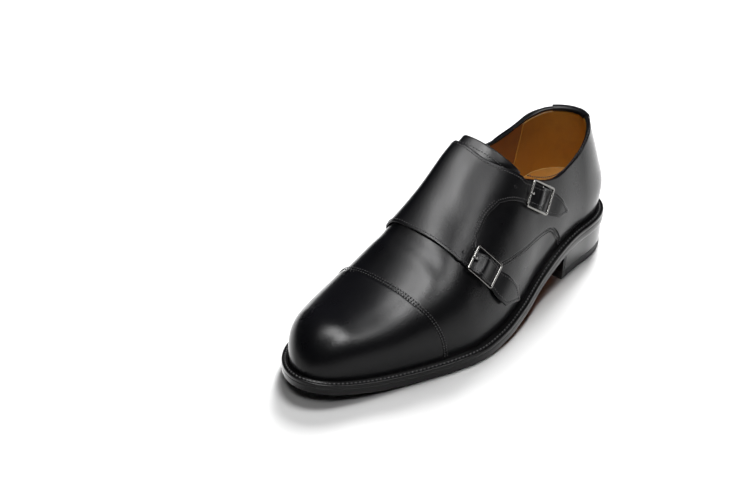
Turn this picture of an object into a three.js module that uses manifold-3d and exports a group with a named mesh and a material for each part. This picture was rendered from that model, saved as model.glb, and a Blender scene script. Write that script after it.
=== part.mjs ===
// Left double-buckle monk strap shoe, men's dress size, millimetres.
// The toe points to -Y, the outer side to +X, and the sole stands on z = 0.
//
// Everything is worked out from two surfaces: the plan outline of the sole, and the last (the
// foot shape) above it. A place on the last is (t, a): t is the distance from the heel end along
// the length, and a runs across, from 1 at the outer feather line over the ridge at 0 to -1 at
// the inner feather line. The feather line is where the upper meets the welt.
import * as THREE from "three";
import { mergeVertices } from "three/addons/utils/BufferGeometryUtils.js";
import Module from "manifold-3d";

const wasm = await Module();
wasm.setup();

// ---- Driving sizes -------------------------------------------------------------------------
const LENGTH = 302; // outsole, heel end to toe end
const MID_X = 2.8; // moves the bounding box's middle to x = 0
const HEEL_ROUND = 41; // length of the rounded heel end of the outline
const TOE_ROUND = 64.7; // length of the rounded toe end of the outline
const TOE_POWER = 2.24; // fullness of the toe curve along its length
const TOE_ROOT = 2.01; // fullness of the toe curve across
const WELT_THICK = 3.1;
const BREAST = 70; // front face of the heel, from the heel end
const HEEL_TAPER = 1.6; // the heel is this much smaller all round at the floor
const LIFT_THICK = 6; // rubber top piece
const FIT_GAP = 0.3; // clearance between neighbouring pieces
const CUT_SPARE = 0.8; // how far a cutting patch reaches past the layer that it cuts
const WALL = 2.2; // vamp or quarter with its lining
const LEATHER = 1.5; // one layer of calf
const INSOLE_THICK = 2.6;
const UPPER_BACK = 6; // feather line at the heel end
const UPPER_TOE = 295; // feather line at the toe end
const TOE_BOX = 28.5; // length over which the toe drops to the feather line
const BACK_FADE = 55; // length over which the heel's back curve dies away
const THROAT = 152; // front of the throat opening, under the strap panel
const TONGUE_FRONT = 176;
const CAP_SEAM = 227; // the toe cap's seam on the ridge
const CAP_SWEEP = 16; // how far the seam sweeps back to the feather lines
const CAP_MIDDLE = -13; // x of the seam's foremost place
const CAP_HALF = 57; // half width over which it sweeps back

// ---- Tables --------------------------------------------------------------------------------
// Half widths of the outsole from the heel's middle line.
const OUTLINE = table(
  ["t", "outer", "inner"],
  [0, 33.5, 33.5],
  [35, 31.0, 33.6],
  [70, 34.6, 32.4],
  [100, 39.6, 30.0],
  [130, 49.0, 30.4],
  [160, 55.8, 36.2],
  [185, 56.6, 43.4],
  [205, 52.2, 48.8],
  [226, 44.8, 51.4],
  [248, 37.0, 50.8],
  [272, 32.0, 48.5],
  [302, 31.0, 43.0],
);
// Underside of the outsole over the heel and the arch, and thickness of the sole's edge.
const ARCH = table(["t", "z"], [0, 21], [70, 19.1], [100, 10.6], [130, 5.2], [160, 1.6], [180, 0], [215, 0]);
const EDGE = table(["t", "height", "overhang"], [0, 8.7, 6], [60, 8.7, 6], [110, 7.9, 5.8], [170, 8.5, 7], [302, 8.5, 7]);
const TOE_SPRING = 9.7;
const SPRING_FROM = 215;
// Cross sections of the last: the ridge, and for each side how far the wall bulges past the
// feather line, how high that bulge sits, and how wide the top stays.
const SECTIONS = table(
  ["t", "ridgeX", "ridgeZ", "bulgeOut", "bulgeIn", "liftOut", "liftIn", "topOut", "topIn"],
  [6, -4.0, 152.0, 2.0, 5.5, 0.42, 0.42, 0.7, 1.0],
  [40, -4.5, 147.0, 4.0, 6.4, 0.36, 0.5, 0.8, 1.06],
  [75, -6.0, 141.0, 4.7, 6.4, 0.36, 0.51, 0.82, 1.12],
  [105, -10.0, 132.0, 4.4, 4.8, 0.37, 0.5, 0.68, 1.02],
  [135, -14.5, 118.5, 3.8, 3.4, 0.41, 0.52, 0.5, 0.84],
  [165, -14.0, 98.0, 3.8, 2.7, 0.46, 0.52, 0.5, 0.69],
  [195, -13.5, 78.0, 4.5, 3.7, 0.53, 0.56, 0.69, 0.7],
  [225, -12.5, 59.5, 4.9, 4.4, 0.61, 0.6, 0.83, 0.75],
  [255, -11.0, 50.0, 3.7, 4.5, 0.6, 0.62, 0.8, 0.74],
  [280, -9.7, 47.0, 2.4, 4.6, 0.58, 0.64, 0.69, 0.72],
  [296, -8.5, 45.5, 0.8, 3.3, 0.54, 0.62, 0.59, 0.68],
);
// How far the heel's back curve stands behind the feather line at a height above it.
const BACK = table(["rise", "out"], [0, 0], [18, 5], [40, -0.3], [68, -8.2], [110, -17]);
// Top edge of the quarters, then the sides of the throat under the strap panel.
const TOPLINE = table(
  ["t", "outer", "inner"],
  [6, 0.552, 0.552],
  [18, 0.556, 0.566],
  [30, 0.574, 0.59],
  [45, 0.6, 0.603],
  [60, 0.614, 0.607],
  [75, 0.602, 0.591],
  [90, 0.549, 0.543],
  [105, 0.469, 0.479],
  [120, 0.36, 0.37],
  [134, 0.25, 0.25],
);
// Edges of the strap panel, rear edge first, in steps from its inner end to the fork of the straps.
const PANEL_ROWS = [0, 0.3, 0.5, 0.7, 1];
const PANEL = [
  { at: 0, places: [[116, -0.42], [117, -0.56], [124, -0.67], [142, -0.7], [163, -0.77]] },
  { at: 0.28, places: [[128.5, -0.25], [140, -0.33], [152, -0.38], [166, -0.42], [184.5, -0.44]] },
  { at: 0.55, places: [[131.5, 0], [148.7, 0], [160, 0], [171.7, 0], [189, 0]] },
  { at: 0.8, places: [[126.5, 0.25], [142.5, 0.23], [156, 0.235], [170, 0.25], [185.5, 0.26]] },
  { at: 1, places: [[110, 0.42], [132.7, 0.45], [147, 0.438], [160, 0.455], [181, 0.44]] },
];
// Both edges of each strap from the fork to the tip.
const UPPER_STRAP = table(
  ["at", "rearT", "rearA", "frontT", "frontA"],
  [0, 110, 0.42, 132.7, 0.45],
  [0.2, 103.5, 0.48, 120, 0.5],
  [0.4, 97, 0.525, 111, 0.57],
  [0.75, 80.5, 0.64, 91.5, 0.7],
  [0.9, 74.5, 0.705, 80.5, 0.765],
  [1, 68.5, 0.785, 71, 0.8],
);
const LOWER_STRAP = table(
  ["at", "rearT", "rearA", "frontT", "frontA"],
  [0, 160, 0.455, 181, 0.44],
  [0.15, 165.3, 0.49, 179.3, 0.49],
  [0.35, 158.5, 0.58, 174.5, 0.58],
  [0.6, 151, 0.69, 168, 0.69],
  [0.8, 143.5, 0.785, 161.5, 0.785],
  [0.92, 139.5, 0.85, 153, 0.865],
  [1, 138, 0.915, 142, 0.92],
);
// Middle of each buckle's end bars: the one nearer the panel, then the one nearer the strap's tip.
const UPPER_BUCKLE = { near: [109.2, 0.503], far: [85.8, 0.675] };
const LOWER_BUCKLE = { near: [171.4, 0.5], far: [159.3, 0.695] };
const BUCKLE_LONG = 25;
const BUCKLE_WIDE = 20.5;
const BUCKLE_BAR = 2.2; // width of the frame's bars
const BUCKLE_THICK = 1.8;
const BUCKLE_CORNER = 1.6;
const BUCKLE_SEAT = 2.4; // underside of the frame above the last
const PRONG_WIDE = 2.2;
const PRONG_THICK = 1.2;
const PRONG_ROOT = -4; // where it leaves the strap, along the buckle from its middle
const PRONG_LOW = 0.15; // its underside there, above the underside of the frame
const PRONG_STEP = 2.5; // length over which it steps up to the bar
const PRONG_PAST = 0.6; // how far its tip stands past the frame
// Top of the tongue as t across the last.
const TONGUE_TOP = table(["a", "t"], [-0.42, 112], [-0.3, 118.5], [-0.15, 123.5], [0, 125], [0.15, 122], [0.3, 115.5], [0.42, 108]);

// ---- Curves --------------------------------------------------------------------------------
// A table of rows with named columns; at(column, x) reads a smooth curve through its rows.
function table(names, ...rows) {
  const xs = rows.map((row) => row[0]);
  const slopes = {};
  names.slice(1).forEach((name, index) => {
    const ys = rows.map((row) => row[index + 1]);
    const steps = xs.slice(1).map((x, i) => (ys[i + 1] - ys[i]) / (x - xs[i]));
    slopes[name] = ys.map((y, i) => {
      if (i === 0) return steps[0];
      if (i === ys.length - 1) return steps[i - 1];
      const before = xs[i] - xs[i - 1];
      const after = xs[i + 1] - xs[i];
      return (steps[i - 1] * after + steps[i] * before) / (before + after);
    });
  });
  const at = (name, x) => {
    const column = names.indexOf(name);
    const place = Math.min(Math.max(x, xs[0]), xs[xs.length - 1]);
    let i = 0;
    while (i < xs.length - 2 && place >= xs[i + 1]) i += 1;
    const span = xs[i + 1] - xs[i];
    const s = (place - xs[i]) / span;
    return (
      (1 + 2 * s) * (1 - s) ** 2 * rows[i][column] +
      s * (1 - s) ** 2 * span * slopes[name][i] +
      s * s * (3 - 2 * s) * rows[i + 1][column] +
      s * s * (s - 1) * span * slopes[name][i + 1]
    );
  };
  // Straight lines between the rows, for sizes that change in plain steps.
  const straight = (name, x) => {
    const column = names.indexOf(name);
    const place = Math.min(Math.max(x, xs[0]), xs[xs.length - 1]);
    let i = 0;
    while (i < xs.length - 2 && place >= xs[i + 1]) i += 1;
    const s = (place - xs[i]) / (xs[i + 1] - xs[i]);
    return rows[i][column] * (1 - s) + rows[i + 1][column] * s;
  };
  return { at, straight, first: xs[0], last: xs[xs.length - 1] };
}

const clamp = (x) => Math.min(Math.max(x, 0), 1);
const smooth = (x) => clamp(x) ** 2 * (3 - 2 * clamp(x));
const mix = (a, b, s) => a * (1 - s) + b * s;
const overhang = (t) => EDGE.straight("overhang", t);

// How much of its full width the outline keeps at t, with both ends rounded.
function rounding(t, inset) {
  const heel = clamp((HEEL_ROUND - t) / (HEEL_ROUND - inset));
  const toe = clamp((t - (LENGTH - TOE_ROUND)) / (TOE_ROUND - inset));
  return Math.sqrt(1 - heel * heel) * (1 - toe ** TOE_POWER) ** (1 / TOE_ROOT);
}

// x of the outline, moved in by inset, on the outer (side 1) or inner (side -1) edge.
function outlineX(t, side, inset) {
  const outer = OUTLINE.at("outer", t);
  const inner = OUTLINE.at("inner", t);
  return (outer - inner) / 2 + side * ((outer + inner) / 2 - inset) * rounding(t, inset);
}

function soleBottom(t) {
  if (t > SPRING_FROM) return TOE_SPRING * ((t - SPRING_FROM) / (LENGTH - SPRING_FROM)) ** 2;
  return Math.max(ARCH.at("z", t), 0);
}

const weltTop = (t) => soleBottom(t) + EDGE.straight("height", t);
const weltBottom = (t) => weltTop(t) - WELT_THICK;
const soleTop = (t) => weltBottom(t) - FIT_GAP;
const upperBase = (t) => weltTop(t) + FIT_GAP;

// A point on the last at (t, a).
function last(t, a) {
  const side = a >= 0 ? 1 : -1;
  const pick = (name) => SECTIONS.at(name + (side > 0 ? "Out" : "In"), t);
  const inset = overhang(t);
  const keep = rounding(t, inset);
  const box = clamp((t - (UPPER_TOE - TOE_BOX)) / TOE_BOX);
  const drop = Math.sqrt(1 - box * box);
  const middle = (outlineX(t, 1, inset) + outlineX(t, -1, inset)) / 2;
  const featherX = outlineX(t, side, inset);
  const featherZ = upperBase(t);
  const height = (SECTIONS.at("ridgeZ", t) - featherZ) * drop;
  const ridgeX = middle + (SECTIONS.at("ridgeX", t) - middle) * keep;
  const bulge = side * pick("bulge") * Math.min(1, keep * 1.3) * Math.min(1, drop * 1.2);
  const topX = ridgeX + pick("top") * (featherX - ridgeX);
  const v = 1 - Math.abs(a);
  const w = 1 - v;
  const x = w ** 3 * featherX + 3 * w * w * v * (featherX + bulge) + 3 * w * v * v * topX + v ** 3 * ridgeX;
  const rise = height * (3 * w * w * v * pick("lift") + 3 * w * v * v + v ** 3);
  const back = BACK.at("out", featherZ + rise - upperBase(UPPER_BACK));
  const fade = smooth(1 - (t - UPPER_BACK) / BACK_FADE);
  return new THREE.Vector3(x - MID_X, LENGTH / 2 - (t - back * fade), featherZ + rise);
}

// Distances from the heel end, closer together in the round ends, for an outline whose two ends
// are moved in.
function stations(heelInset, toeInset, { heelSteps = 8, bodySteps = 16, toeSteps = 10 } = {}) {
  const list = [];
  for (let i = 0; i < heelSteps; i += 1) {
    list.push(heelInset + (HEEL_ROUND - heelInset) * (1 - Math.cos((i / heelSteps) * (Math.PI / 2))));
  }
  for (let i = 0; i < bodySteps; i += 1) {
    list.push(mix(HEEL_ROUND, LENGTH - TOE_ROUND, i / bodySteps));
  }
  for (let i = 0; i <= toeSteps; i += 1) {
    list.push(LENGTH - TOE_ROUND + (TOE_ROUND - toeInset) * Math.sin((i / toeSteps) * (Math.PI / 2)));
  }
  return list;
}

// ---- Meshes --------------------------------------------------------------------------------
// Collects triangles, shares vertices that fall on the same place, and drops flat triangles.
class Skin {
  constructor() {
    this.points = [];
    this.lookup = new Map();
    this.faces = [];
  }
  vertex(p) {
    const key = [p.x, p.y, p.z].map((n) => Math.round(n * 500)).join(",");
    if (!this.lookup.has(key)) {
      this.lookup.set(key, this.points.length);
      this.points.push(p.clone());
    }
    return this.lookup.get(key);
  }
  triangle(a, b, c) {
    if (a !== b && b !== c && c !== a) this.faces.push([a, b, c]);
  }
  quad(a, b, c, d) {
    this.triangle(a, b, c);
    this.triangle(a, c, d);
  }
  // Joins two rows of places with quads.
  strip(rowA, rowB) {
    for (let i = 0; i < rowA.length - 1; i += 1) {
      this.quad(rowA[i], rowA[i + 1], rowB[i + 1], rowB[i]);
    }
  }
  // Joins closed rings of places, one after another.
  bands(rings) {
    for (let i = 0; i < rings.length - 1; i += 1) {
      this.strip([...rings[i], rings[i][0]], [...rings[i + 1], rings[i + 1][0]]);
    }
  }
  normals() {
    const sums = this.points.map(() => new THREE.Vector3());
    const ab = new THREE.Vector3();
    const ac = new THREE.Vector3();
    for (const [a, b, c] of this.faces) {
      ab.subVectors(this.points[b], this.points[a]);
      ac.subVectors(this.points[c], this.points[a]);
      const area = ab.clone().cross(ac);
      for (const corner of [a, b, c]) sums[corner].add(area);
    }
    return sums.map((sum) => sum.normalize());
  }
  geometry() {
    const geometry = new THREE.BufferGeometry();
    geometry.setAttribute("position", new THREE.Float32BufferAttribute(this.points.flatMap((p) => p.toArray()), 3));
    geometry.setIndex(this.faces.flat());
    return geometry;
  }
}

// Turns an open skin into a closed sheet between two distances from it along its normals.
// Places in the list called level stand on the welt.
function thicken(skin, near, far, level = new Set()) {
  const normals = skin.normals();
  const solid = new Skin();
  solid.points = [];
  const count = skin.points.length;
  const layer = (distance) =>
    skin.points.map((point, i) => {
      const away = normals[i].clone();
      if (!level.has(i)) return point.clone().addScaledVector(away, distance);
      const seat = point.clone().addScaledVector(away.setZ(0).normalize(), distance);
      return seat.setZ(upperBase(LENGTH / 2 - seat.y));
    });
  solid.points = [...layer(far), ...layer(near)];
  const edges = new Map();
  for (const [a, b, c] of skin.faces) {
    solid.triangle(a, b, c);
    solid.triangle(count + a, count + c, count + b);
    for (const [from, to] of [[a, b], [b, c], [c, a]]) edges.set(`${from},${to}`, [from, to]);
  }
  for (const [from, to] of edges.values()) {
    if (!edges.has(`${to},${from}`)) solid.quad(to, from, count + from, count + to);
  }
  return solid.geometry();
}

// A closed slab with the sole's outline between two stations and two heights.
function slab({ ts, inset, bottom, top, taper = 0 }) {
  const skin = new Skin();
  const rows = ts.map((t) => {
    const corner = (side, z, extra) => {
      const at = extra ? Math.max(t, inset(t) + extra) : t;
      const x = outlineX(at, side, inset(t) + extra) - MID_X;
      return skin.vertex(new THREE.Vector3(x, LENGTH / 2 - at, z));
    };
    return [corner(1, bottom(t), taper), corner(1, top(t), 0), corner(-1, top(t), 0), corner(-1, bottom(t), taper)];
  });
  skin.bands(rows);
  skin.quad(...rows[rows.length - 1]);
  return skin.geometry();
}

// A closed mesh as a solid that can be cut, and back.
function solidOf(geometry) {
  const bare = new THREE.BufferGeometry();
  bare.setAttribute("position", geometry.getAttribute("position"));
  bare.setIndex(geometry.getIndex());
  const merged = mergeVertices(bare, 1e-4);
  return new wasm.Manifold(
    new wasm.Mesh({
      numProp: 3,
      vertProperties: Float32Array.from(merged.getAttribute("position").array),
      triVerts: Uint32Array.from(merged.getIndex().array),
    }),
  );
}

function geometryOf(solid) {
  const mesh = solid.getMesh();
  const geometry = new THREE.BufferGeometry();
  geometry.setAttribute("position", new THREE.BufferAttribute(mesh.vertProperties, 3));
  geometry.setIndex(new THREE.BufferAttribute(mesh.triVerts, 1));
  return geometry;
}

// ---- Pieces --------------------------------------------------------------------------------
const none = () => 0;

function outsole() {
  return slab({ ts: stations(0, 0), inset: none, bottom: soleBottom, top: soleTop });
}

// A flat strip all round, from the outline in to just under the upper's wall.
function welt() {
  const skin = new Skin();
  const width = (t) => overhang(t) + WALL - FIT_GAP;
  const outerTs = stations(0, 0);
  const innerTs = stations(width(0), width(LENGTH));
  const place = (t, side, inset, z) => skin.vertex(new THREE.Vector3(outlineX(t, side, inset) - MID_X, LENGTH / 2 - t, z));
  const row = (k, side) => {
    const t = outerTs[k];
    const s = innerTs[k];
    return [
      place(t, side, 0, weltBottom(t)),
      place(t, side, 0, weltTop(t)),
      place(s, side, width(s), weltTop(s)),
      place(s, side, width(s), weltBottom(s)),
    ];
  };
  const rows = outerTs.map((t, k) => row(k, 1));
  for (let k = outerTs.length - 2; k >= 0; k -= 1) rows.push(row(k, -1));
  skin.bands(rows);
  return skin.geometry();
}

// The sock board fills the welt's inside and stands a little above it.
function insole() {
  const inset = (t) => overhang(t) + WALL + 2 * FIT_GAP;
  const top = (t) => weltTop(t) + INSOLE_THICK;
  const bottom = (t) => soleTop(t) + FIT_GAP;
  return slab({ ts: stations(inset(0), inset(LENGTH)), inset, bottom, top });
}

const heelStations = (inset) => {
  const round = stations(inset, 0).filter((t) => t < BREAST - 6);
  return [...round, BREAST];
};
const heelInset = (z) => 0.8 + HEEL_TAPER * (1 - z / soleBottom(0));

function heelStack() {
  const floor = LIFT_THICK + FIT_GAP;
  const inset = () => heelInset(soleBottom(0));
  const taper = heelInset(floor) - inset();
  return slab({ ts: heelStations(inset()), inset, bottom: () => floor, top: (t) => soleBottom(t) - FIT_GAP, taper });
}

function heelTopPiece() {
  const inset = () => heelInset(LIFT_THICK);
  const taper = heelInset(0) - inset();
  return slab({ ts: heelStations(inset()), inset, bottom: none, top: () => LIFT_THICK, taper });
}

// The whole last as one open skin. Every layer of the upper is cut from a shell on this skin, so
// that neighbouring layers have parallel facets.
function wholeSkin() {
  const across = 14;
  const skin = new Skin();
  const feather = new Set();
  const ts = stations(UPPER_BACK, LENGTH - UPPER_TOE, { heelSteps: 7, bodySteps: 20, toeSteps: 9 });
  const rows = ts.map((t) => {
    const row = [];
    for (let j = -across; j <= across; j += 1) row.push(skin.vertex(last(t, -j / across || 1e-9)));
    feather.add(row[0]);
    feather.add(row[2 * across]);
    return row;
  });
  for (let i = 0; i < rows.length - 1; i += 1) skin.strip(rows[i], rows[i + 1]);
  return { skin, feather };
}

const whole = wholeSkin();
const shell = (near, far) => solidOf(thicken(whole.skin, near, far, whole.feather));

// A thick patch of the last that cuts a layer out of a shell: rows of places from place(i, j).
function patch(rows, columns, place, near, far, spare = CUT_SPARE) {
  const skin = new Skin();
  const lines = [];
  for (let j = 0; j <= columns; j += 1) {
    const line = [];
    for (let i = 0; i <= rows; i += 1) line.push(skin.vertex(last(...place(i / rows, j / columns))));
    lines.push(line);
  }
  for (let j = 0; j < columns; j += 1) skin.strip(lines[j], lines[j + 1]);
  return solidOf(thicken(skin, near - spare, far + spare));
}

// How far across the last the opening reaches at t: the topline, then the rounded throat.
function openingEdge(t, side) {
  const name = side > 0 ? "outer" : "inner";
  const round = clamp((t - TOPLINE.last) / (THROAT - TOPLINE.last));
  return TOPLINE.at(name, t) * Math.sqrt(1 - round * round);
}

// Vamp and quarters: one hollow wall from the feather line to the topline.
function upper() {
  const place = (s, r) => {
    const t = THROAT - (THROAT - UPPER_BACK) * Math.cos(s * (Math.PI / 2));
    return [t, mix(-openingEdge(t, -1), openingEdge(t, 1), r)];
  };
  const parts = shell(-WALL, 0).subtract(patch(26, 20, place, -WALL, 0, 5)).decompose();
  return geometryOf(parts.reduce((most, part) => (part.volume() > most.volume() ? part : most)));
}

// The cap stands proud of the vamp in front of a seam that sweeps back on both sides.
function toeCap() {
  const reach = 80;
  const steps = 24;
  const behind = new THREE.Shape();
  behind.moveTo(-reach, LENGTH);
  for (let i = 0; i <= steps; i += 1) {
    const x = mix(-reach, reach, i / steps);
    const sweep = CAP_SWEEP * Math.min(Math.abs(x - CAP_MIDDLE) / CAP_HALF, 1.2) ** 2.4;
    behind.lineTo(x, LENGTH / 2 - CAP_SEAM + sweep);
  }
  behind.lineTo(reach, LENGTH);
  const cutter = solidOf(new THREE.ExtrudeGeometry(behind, { depth: LENGTH, bevelEnabled: false }));
  return geometryOf(shell(FIT_GAP, FIT_GAP + LEATHER).subtract(cutter));
}

function tongue() {
  const far = -WALL - FIT_GAP;
  const place = (s, r) => {
    const a = mix(TONGUE_TOP.first, TONGUE_TOP.last, r);
    return [mix(TONGUE_TOP.at("t", a), TONGUE_FRONT, s), a];
  };
  const near = far - LEATHER;
  return geometryOf(shell(near, far).intersect(patch(6, 12, place, near, far)));
}

// The inner quarter's front part: it crosses the instep and forks into two straps.
function strapPanel() {
  const skin = new Skin();
  const steps = 10;
  const columns = 12;
  const curves = PANEL_ROWS.map((_, i) => table(["at", "t", "a"], ...PANEL.map(({ at, places }) => [at, ...places[i]])));
  const lines = [];
  for (let j = 0; j <= columns; j += 1) {
    const at = j / columns;
    const edge = table(["s", "t", "a"], ...PANEL_ROWS.map((s, i) => [s, curves[i].at("t", at), curves[i].at("a", at)]));
    const line = [];
    for (let i = 0; i <= steps; i += 1) line.push(skin.vertex(last(edge.at("t", i / steps), edge.at("a", i / steps))));
    lines.push(line);
  }
  for (let j = 0; j < columns; j += 1) skin.strip(lines[j], lines[j + 1]);
  const fork = lines[columns];
  const strap = (rootLine, edges, length) => {
    const width = rootLine.length - 1;
    let before = rootLine;
    for (let k = 1; k <= length; k += 1) {
      const at = k / length;
      const line = [];
      for (let i = 0; i <= width; i += 1) {
        const t = mix(edges.at("rearT", at), edges.at("frontT", at), i / width);
        const a = mix(edges.at("rearA", at), edges.at("frontA", at), i / width);
        line.push(skin.vertex(last(t, a)));
      }
      skin.strip(before, line);
      before = line;
    }
  };
  strap(fork.slice(0, 4), UPPER_STRAP, 10);
  strap(fork.slice(7), LOWER_STRAP, 10);
  const far = FIT_GAP + LEATHER;
  const cutter = solidOf(thicken(skin, FIT_GAP - CUT_SPARE, far + CUT_SPARE));
  return geometryOf(shell(FIT_GAP, far).intersect(cutter));
}

// A square frame, lying flat, with its long side along the strap.
function buckleFrame() {
  const outline = (path, long, wide, corner) => {
    const x = long / 2;
    const y = wide / 2;
    path.moveTo(corner - x, -y);
    path.lineTo(x - corner, -y);
    path.absarc(x - corner, corner - y, corner, -Math.PI / 2, 0);
    path.lineTo(x, y - corner);
    path.absarc(x - corner, y - corner, corner, 0, Math.PI / 2);
    path.lineTo(corner - x, y);
    path.absarc(corner - x, y - corner, corner, Math.PI / 2, Math.PI);
    path.lineTo(-x, corner - y);
    path.absarc(corner - x, corner - y, corner, Math.PI, 1.5 * Math.PI);
    return path;
  };
  const shape = outline(new THREE.Shape(), BUCKLE_LONG, BUCKLE_WIDE, BUCKLE_CORNER);
  const hole = outline(new THREE.Path(), BUCKLE_LONG - 2 * BUCKLE_BAR, BUCKLE_WIDE - 2 * BUCKLE_BAR, BUCKLE_CORNER / 3);
  shape.holes.push(hole);
  return new THREE.ExtrudeGeometry(shape, { depth: BUCKLE_THICK, bevelEnabled: false, curveSegments: 3 });
}

// The prong comes out of its hole in the strap and steps up over the frame's near bar.
function prong() {
  const high = BUCKLE_THICK + FIT_GAP; // its underside over the bar
  const bar = BUCKLE_BAR - BUCKLE_LONG / 2; // inner face of the near bar
  const tip = -BUCKLE_LONG / 2 - PRONG_PAST;
  const shape = new THREE.Shape();
  shape.moveTo(PRONG_ROOT, PRONG_LOW);
  shape.lineTo(PRONG_ROOT, PRONG_LOW + PRONG_THICK);
  shape.lineTo(bar + PRONG_STEP, PRONG_LOW + PRONG_THICK);
  shape.lineTo(bar + PRONG_STEP / 2, high + PRONG_THICK);
  shape.lineTo(tip, high + PRONG_THICK);
  shape.lineTo(tip, high);
  shape.lineTo(bar + PRONG_STEP / 5, high);
  shape.lineTo(bar + PRONG_STEP * 0.8, PRONG_LOW);
  const geometry = new THREE.ExtrudeGeometry(shape, { depth: PRONG_WIDE, bevelEnabled: false });
  geometry.rotateX(Math.PI / 2);
  geometry.translate(0, PRONG_WIDE / 2, 0);
  return geometry;
}

// The last's outward direction at (t, a).
function outward(t, a) {
  const along = last(t + 1, a).sub(last(t - 1, a));
  const across = last(t, a + 0.02).sub(last(t, a - 0.02));
  return along.cross(across).normalize();
}

// A group that lies on the last at a buckle, x along the strap and z outward.
function buckleSeat({ near, far }) {
  const middle = [mix(near[0], far[0], 0.5), mix(near[1], far[1], 0.5)];
  const z = outward(...middle);
  const x = last(...far).sub(last(...near));
  x.addScaledVector(z, -x.dot(z)).normalize();
  const y = z.clone().cross(x);
  const seat = new THREE.Group();
  seat.quaternion.setFromRotationMatrix(new THREE.Matrix4().makeBasis(x, y, z));
  seat.position.copy(last(...middle).addScaledVector(z, BUCKLE_SEAT));
  return seat;
}

// ---- Assembly ------------------------------------------------------------------------------
const material = (color, roughness, metalness = 0) => new THREE.MeshStandardMaterial({ color, roughness, metalness });
const calf = material(0x141416, 0.35);
const soleEdge = material(0x1b1a1c, 0.5);
const rubber = material(0x202022, 0.7);
const sock = material(0xb98a4e, 0.6);
const steel = material(0xb9bbbd, 0.2, 1);

const shoe = new THREE.Group();
const add = (name, geometry, finish, parent = shoe) => {
  const mesh = new THREE.Mesh(geometry, finish);
  mesh.name = name;
  parent.add(mesh);
};
add("outsole", outsole(), soleEdge);
add("welt", welt(), soleEdge);
add("heel_stack", heelStack(), soleEdge);
add("heel_top_piece", heelTopPiece(), rubber);
add("insole", insole(), sock);
add("upper", upper(), calf);
add("toe_cap", toeCap(), calf);
add("tongue", tongue(), calf);
add("strap_panel", strapPanel(), calf);
for (const [name, place] of Object.entries({ upper: UPPER_BUCKLE, lower: LOWER_BUCKLE })) {
  const seat = buckleSeat(place);
  add(`buckle_${name}`, buckleFrame(), steel, seat);
  add(`prong_${name}`, prong(), steel, seat);
  shoe.add(seat);
}

export default shoe;
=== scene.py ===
# %% [markdown]
# # A double-buckle monk strap shoe
#
# This is the left shoe of a pair of men's dress shoes: black calf on a welted leather sole.
# Two straps cross the instep to square buckles on the outer side. A shoe is built in layers
# over a last, which is a form in the shape of a foot, and this script builds it in the same way.
# One function gives the last's surface. Each piece of leather is a patch of that surface,
# raised by a small height, with a rolled edge all round. The frame comes from the packed
# model, which says how big the shoe is and which parts it has.

import bpy
import numpy as np
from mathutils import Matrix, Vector


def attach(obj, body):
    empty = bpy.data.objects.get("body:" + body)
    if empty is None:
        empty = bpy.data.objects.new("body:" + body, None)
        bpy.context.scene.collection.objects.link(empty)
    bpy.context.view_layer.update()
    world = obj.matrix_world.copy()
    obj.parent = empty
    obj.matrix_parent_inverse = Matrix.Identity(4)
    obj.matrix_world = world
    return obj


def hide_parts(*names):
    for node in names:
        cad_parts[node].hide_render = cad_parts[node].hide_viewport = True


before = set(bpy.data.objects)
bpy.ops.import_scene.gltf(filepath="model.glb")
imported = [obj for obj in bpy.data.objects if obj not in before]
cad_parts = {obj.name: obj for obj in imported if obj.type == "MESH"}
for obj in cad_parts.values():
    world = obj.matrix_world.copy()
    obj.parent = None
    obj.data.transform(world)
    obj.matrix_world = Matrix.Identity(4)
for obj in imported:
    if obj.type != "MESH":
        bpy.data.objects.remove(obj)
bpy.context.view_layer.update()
print("nodes:", sorted(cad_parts))

# %% [markdown]
# ## Sizes of the last and the sole
#
# All sizes are in millimetres. A place on the last has two numbers: t, the distance from the
# heel end along the shoe, and a, which runs across from 1 at the outer edge over the ridge at 0
# to -1 at the inner edge. Smooth curves through short tables give widths and heights, the way
# a last maker checks a last at a few sections.

# %% Sizes
LENGTH = 302.0
MID_X = 2.8  # the box's middle, from the heel's middle line
HEEL_ROUND = 41.0
TOE_ROUND = 64.7
TOE_POWER = 2.24
TOE_ROOT = 2.01
WELT_THICK = 3.1
BREAST = 70.0
HEEL_TAPER = 1.6
LIFT_THICK = 6.0
GAP = 0.3
WALL = 2.2
INSOLE_THICK = 2.6
UPPER_BACK = 6.0
UPPER_TOE = 295.0
TOE_BOX = 28.5
BACK_FADE = 55.0
TOE_SPRING = 9.7
SPRING_FROM = 215.0
PAINTED_SHADE_FROM = 212.0  # in front of it the underside keeps the black edge finish, as painted shade under the raised toe
OVERLAY = 0.9  # one layer of calf over another
STRAP_HIGH = 2.2  # top of the straps above the last


class Table:
    """Rows of numbers under named columns, read as a smooth curve: a cubic between two rows,
    whose slope at a row is the mean of both sides' slopes, each weighted by the other's span."""

    def __init__(self, names, *rows):
        self.names = names.split()
        self.rows = np.array(rows, float)
        self.x = self.rows[:, 0]
        span = np.diff(self.x)[:, None]
        steps = np.diff(self.rows, axis=0) / span
        inner = (steps[:-1] * span[1:] + steps[1:] * span[:-1]) / (span[:-1] + span[1:])
        self.slopes = np.vstack([steps[:1], inner, steps[-1:]])

    def __call__(self, name, x):
        j = self.names.index(name)
        x = np.clip(x, self.x[0], self.x[-1])
        i = np.clip(np.searchsorted(self.x, x, side="right") - 1, 0, len(self.x) - 2)
        span = self.x[i + 1] - self.x[i]
        s = (x - self.x[i]) / span
        low, high = self.rows[i, j], self.rows[i + 1, j]
        leave, arrive = span * self.slopes[i, j], span * self.slopes[i + 1, j]
        return (
            (1 + 2 * s) * (1 - s) ** 2 * low
            + s * (1 - s) ** 2 * leave
            + s * s * (3 - 2 * s) * high
            + s * s * (s - 1) * arrive
        )

    def straight(self, name, x):
        """Straight lines between the rows."""
        return np.interp(x, self.x, self.rows[:, self.names.index(name)])


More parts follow.
